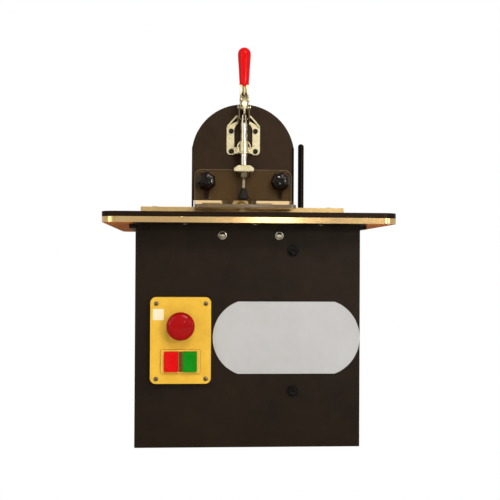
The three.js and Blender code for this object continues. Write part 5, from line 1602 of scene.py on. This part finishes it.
@dataclass
class PilotDrill(Assembly):
    """Pilot drill in its saddle on two round rails, tilted down to the fence's notch."""

    radius: float = 20.0
    ends: Point = (92.0, 190.0)
    fins: int = 5
    fin_place: Point = (62.0, 4.4)
    fin: Profile = ((0.0, 0.0), (-1.2, 0.7), (-1.2, 2.1), (0.0, 2.8))
    nose: Profile = ((-4.0, 0.0), (-1.0, 1.2), (0.0, 4.0), (0.0, 10.0))
    tail: Profile = ((0.0, -8.0), (-2.5, -3.0), (-8.0, 0.0))
    socket: float = 4.3
    chuck: Point = (56.0, 88.0)
    jaws: Profile = ((7.0, 0.0), (8.5, 2.0), (13.5, 14.0), (13.5, 16.0), (13.5, 18.0))
    heel: Profile = ((13.5, -3.0), (12.5, 0.0), (6.0, 0.0), (6.0, 8.0), (0.0, 8.0))
    point: Profile = ((0.0, 0.0), (0.9, 1.5))
    bit: Triple = (1.8, 15.0, 24.0)
    neck: float = 6.0
    body: str = "drill_carriage"

    def build(self) -> None:
        """Makes the motor and the chuck, and finishes the saddle and the rails."""
        lean = (Matrix.Translation((0, AT.fence_face, AT.drill_height))
                @ Matrix.Rotation(AT.drill_tilt, 4, "X"))
        radius, (front, back), neck = self.radius, self.ends, self.neck + AT.gap
        socket = front + self.socket
        profile = [(0.0, socket), (neck, socket), (neck, front), *raised(self.nose, front, radius)]
        start, pitch = self.fin_place
        for rib in range(self.fins):
            profile += raised(self.fin, front + start + rib * pitch, radius)
        profile += [*raised(self.tail, back, radius), (0.0, back)]
        motor = turned(Axis.BACK, CENTER, profile, 64)
        self.add("drill_motor_body", tilted(motor, lean), MOTOR_PLASTIC, "drill_motor",
                 ease=0.3)
        self.add("drill_chuck_body", tilted(self.chuck_and_bit(), lean), BRIGHT_STEEL,
                 "drill_chuck", body="drill_spindle", crease=40)
        self.keep(CAST_ALUMINIUM, 0.8, "drill_saddle", "rail_block_front", "rail_block_rear")
        self.keep(BRIGHT_STEEL, 0.4, "drill_rail_left", "drill_rail_right")

    def chuck_and_bit(self) -> Mesh:
        """Makes the knurled chuck with the twist drill in it.

        Returns:
            The mesh.
        """
        (nose, end), (r, tip, _) = self.chuck, self.bit
        steps = int(nose - tip - 4)
        profile = [*raised(self.point, tip), *((r, tip + 3 + i) for i in range(steps)), (r, nose),
                   *raised(self.jaws, nose), *raised(self.heel, end)]
        return turned(Axis.BACK, CENTER, profile, 96, partial(self.cut_shape, steps))

    def cut_shape(self, steps: int, angle: float, index: int) -> float:
        """Gives the drill's flutes and the chuck's knurls.

        Args:
            steps: rings of the fluted part.
            angle: the angle about the axis.
            index: the ring.

        Returns:
            The factor for the radius.
        """
        if 3 <= index < steps + 2:
            turn = FULL_TURN * index / self.bit[2]
            return 1 - 0.4 * max(0.0, math.cos(2 * (angle - turn))) ** 3
        return 0.965 + 0.035 * math.cos(24 * angle) if 0 <= index - steps - 7 < 2 else 1.0


@dataclass(frozen=True)
class Lamp:
    """A rectangular soft lamp that faces the object; sizes in metres."""

    name: str
    place: Triple
    size: Point
    power: float
    color: Triple = (1.0, 0.98, 0.94)
    target: Triple = (0.0, 0.0, 0.3)

    def build(self) -> None:
        """Adds the lamp."""
        data = bpy.data.lights.new(self.name, "AREA")
        data.shape = "RECTANGLE"
        data.size, data.size_y = self.size
        data.energy = self.power
        data.color = self.color
        item = bpy.data.objects.new(self.name, data)
        item.location = self.place
        way = Vector(self.target) - Vector(self.place)
        item.rotation_euler = way.to_track_quat("-Z", "Y").to_euler()
        bpy.context.scene.collection.objects.link(item)


WARM = (1.0, 0.97, 0.92)
LAMPS = (
    Lamp("key_softbox", (0.8, -2.2, 1.9), (1.0, 1.0), 20, (1.0, 0.95, 0.88)),
    Lamp("fill_softbox", (-1.8, -1.7, 1.1), (1.6, 1.6), 8, (1.0, 0.94, 0.86)),
    Lamp("rear_softbox", (0.4, 1.9, 1.9), (1.6, 1.6), 9, WARM),
    Lamp("strip_softbox", (1.35, -2.2, 0.6), (0.12, 0.9), 4),
    Lamp("spark_above", (0.1, -1.9, 1.5), (0.14, 0.06), 8),
    Lamp("spark_right", (0.75, -1.7, 0.6), (0.09, 0.09), 5.5),
    Lamp("band_glow", (0.18, -1.9, 0.41), (0.09, 0.09), 0.35),
    Lamp("corner_left", (-1.6, -1.36, 0.45), (0.12, 0.25), 1.2, WARM),
    Lamp("corner_right", (1.6, -1.36, 0.45), (0.12, 0.25), 1.2, WARM),
)


@dataclass(frozen=True)
class Studio:
    """Floor, lamps, sky and the camera at the photograph's place; angles in degrees."""

    lens: float = 67.9
    sensor: float = 36.0
    eye: Triple = (-0.086, -1.5285, 0.267)
    yaw: float = 3.73
    pitch: float = 0.65
    roll: float = 0.3
    sky: float = 0.27
    glossy_sky: float = 0.72
    floor_half: float = 9.0
    floor_depth: float = 0.02
    floor_grey: float = 0.9
    floor_rough: float = 0.9

    def build(self) -> None:
        """Sets up everything round the object."""
        bpy.context.scene.view_settings.view_transform = "Standard"
        self.camera()
        self.floor()
        for lamp in LAMPS:
            lamp.build()
        self.world()

    def camera(self) -> None:
        """Places the camera; yaw turns it right, pitch up, and roll the picture clockwise."""
        data = bpy.data.cameras.new("photo_camera")
        data.lens, data.sensor_width = self.lens, self.sensor
        item = bpy.data.objects.new("photo_camera", data)
        bpy.context.scene.collection.objects.link(item)
        turns = ((-self.yaw, "Z"), (90 + self.pitch, "X"), (self.roll, "Z"))
        first, second, third = (Matrix.Rotation(math.radians(a), 4, axis) for a, axis in turns)
        item.matrix_world = Matrix.Translation(self.eye) @ first @ second @ third
        bpy.context.scene.camera = item

    def floor(self) -> None:
        """Adds the pale floor, white to the camera where nothing shades it."""
        face = box((0, 0), (self.floor_half, self.floor_half))
        mesh = slab(Plane.FLOOR, [face], -self.floor_depth, 0.0)
        made = bpy.data.materials.new("pale_floor")
        made.use_nodes = True
        kit = NodeKit(made.node_tree)
        surface = made.node_tree.nodes["Principled BSDF"]
        surface.inputs["Base Color"].default_value = (*[self.floor_grey] * 3, 1)
        surface.inputs["Roughness"].default_value = self.floor_rough
        glow = kit.add("ShaderNodeEmission", Color=(1, 1, 1, 1), Strength=1.0)
        seen = kit.add("ShaderNodeLightPath").outputs["Is Camera Ray"]
        mix = kit.add("ShaderNodeMixShader", i0=seen, i1=surface.outputs[0], i2=glow.outputs[0])
        kit.feed(made.node_tree.nodes["Material Output"].inputs["Surface"], mix.outputs[0])
        mesh.materials.append(made)
        item = bpy.data.objects.new("floor", mesh)
        bpy.context.scene.collection.objects.link(item)

    def world(self) -> None:
        """Adds an even sky that the camera, metal and glass see as white."""
        made = bpy.data.worlds.new("studio_sky")
        made.use_nodes = True
        bpy.context.scene.world = made
        kit = NodeKit(made.node_tree)
        path = kit.add("ShaderNodeLightPath").outputs
        seen = kit.math("MAXIMUM", path["Is Camera Ray"], path["Is Transmission Ray"])
        shine = kit.math("MULTIPLY", path["Is Glossy Ray"], self.glossy_sky)
        sky = made.node_tree.nodes["Background"].inputs
        sky["Color"].default_value = (1, 1, 1, 1)
        kit.feed(sky["Strength"], kit.math("MAXIMUM", kit.span(seen, self.sky, 1.0), shine))


def main() -> None:
    """Builds the studio and every assembly of the machine."""
    logging.basicConfig(level=logging.INFO, format="%(message)s")
    Studio().build()
    for kind in (Cabinet, Table, Fence, Bracket, Guard, ToggleClamp, ControlStation, Badge,
                 SwingUnit, PilotDrill):
        LOG.info("Building %s", kind.__name__)
        kind().build()


if __name__ == "__main__":
    main()
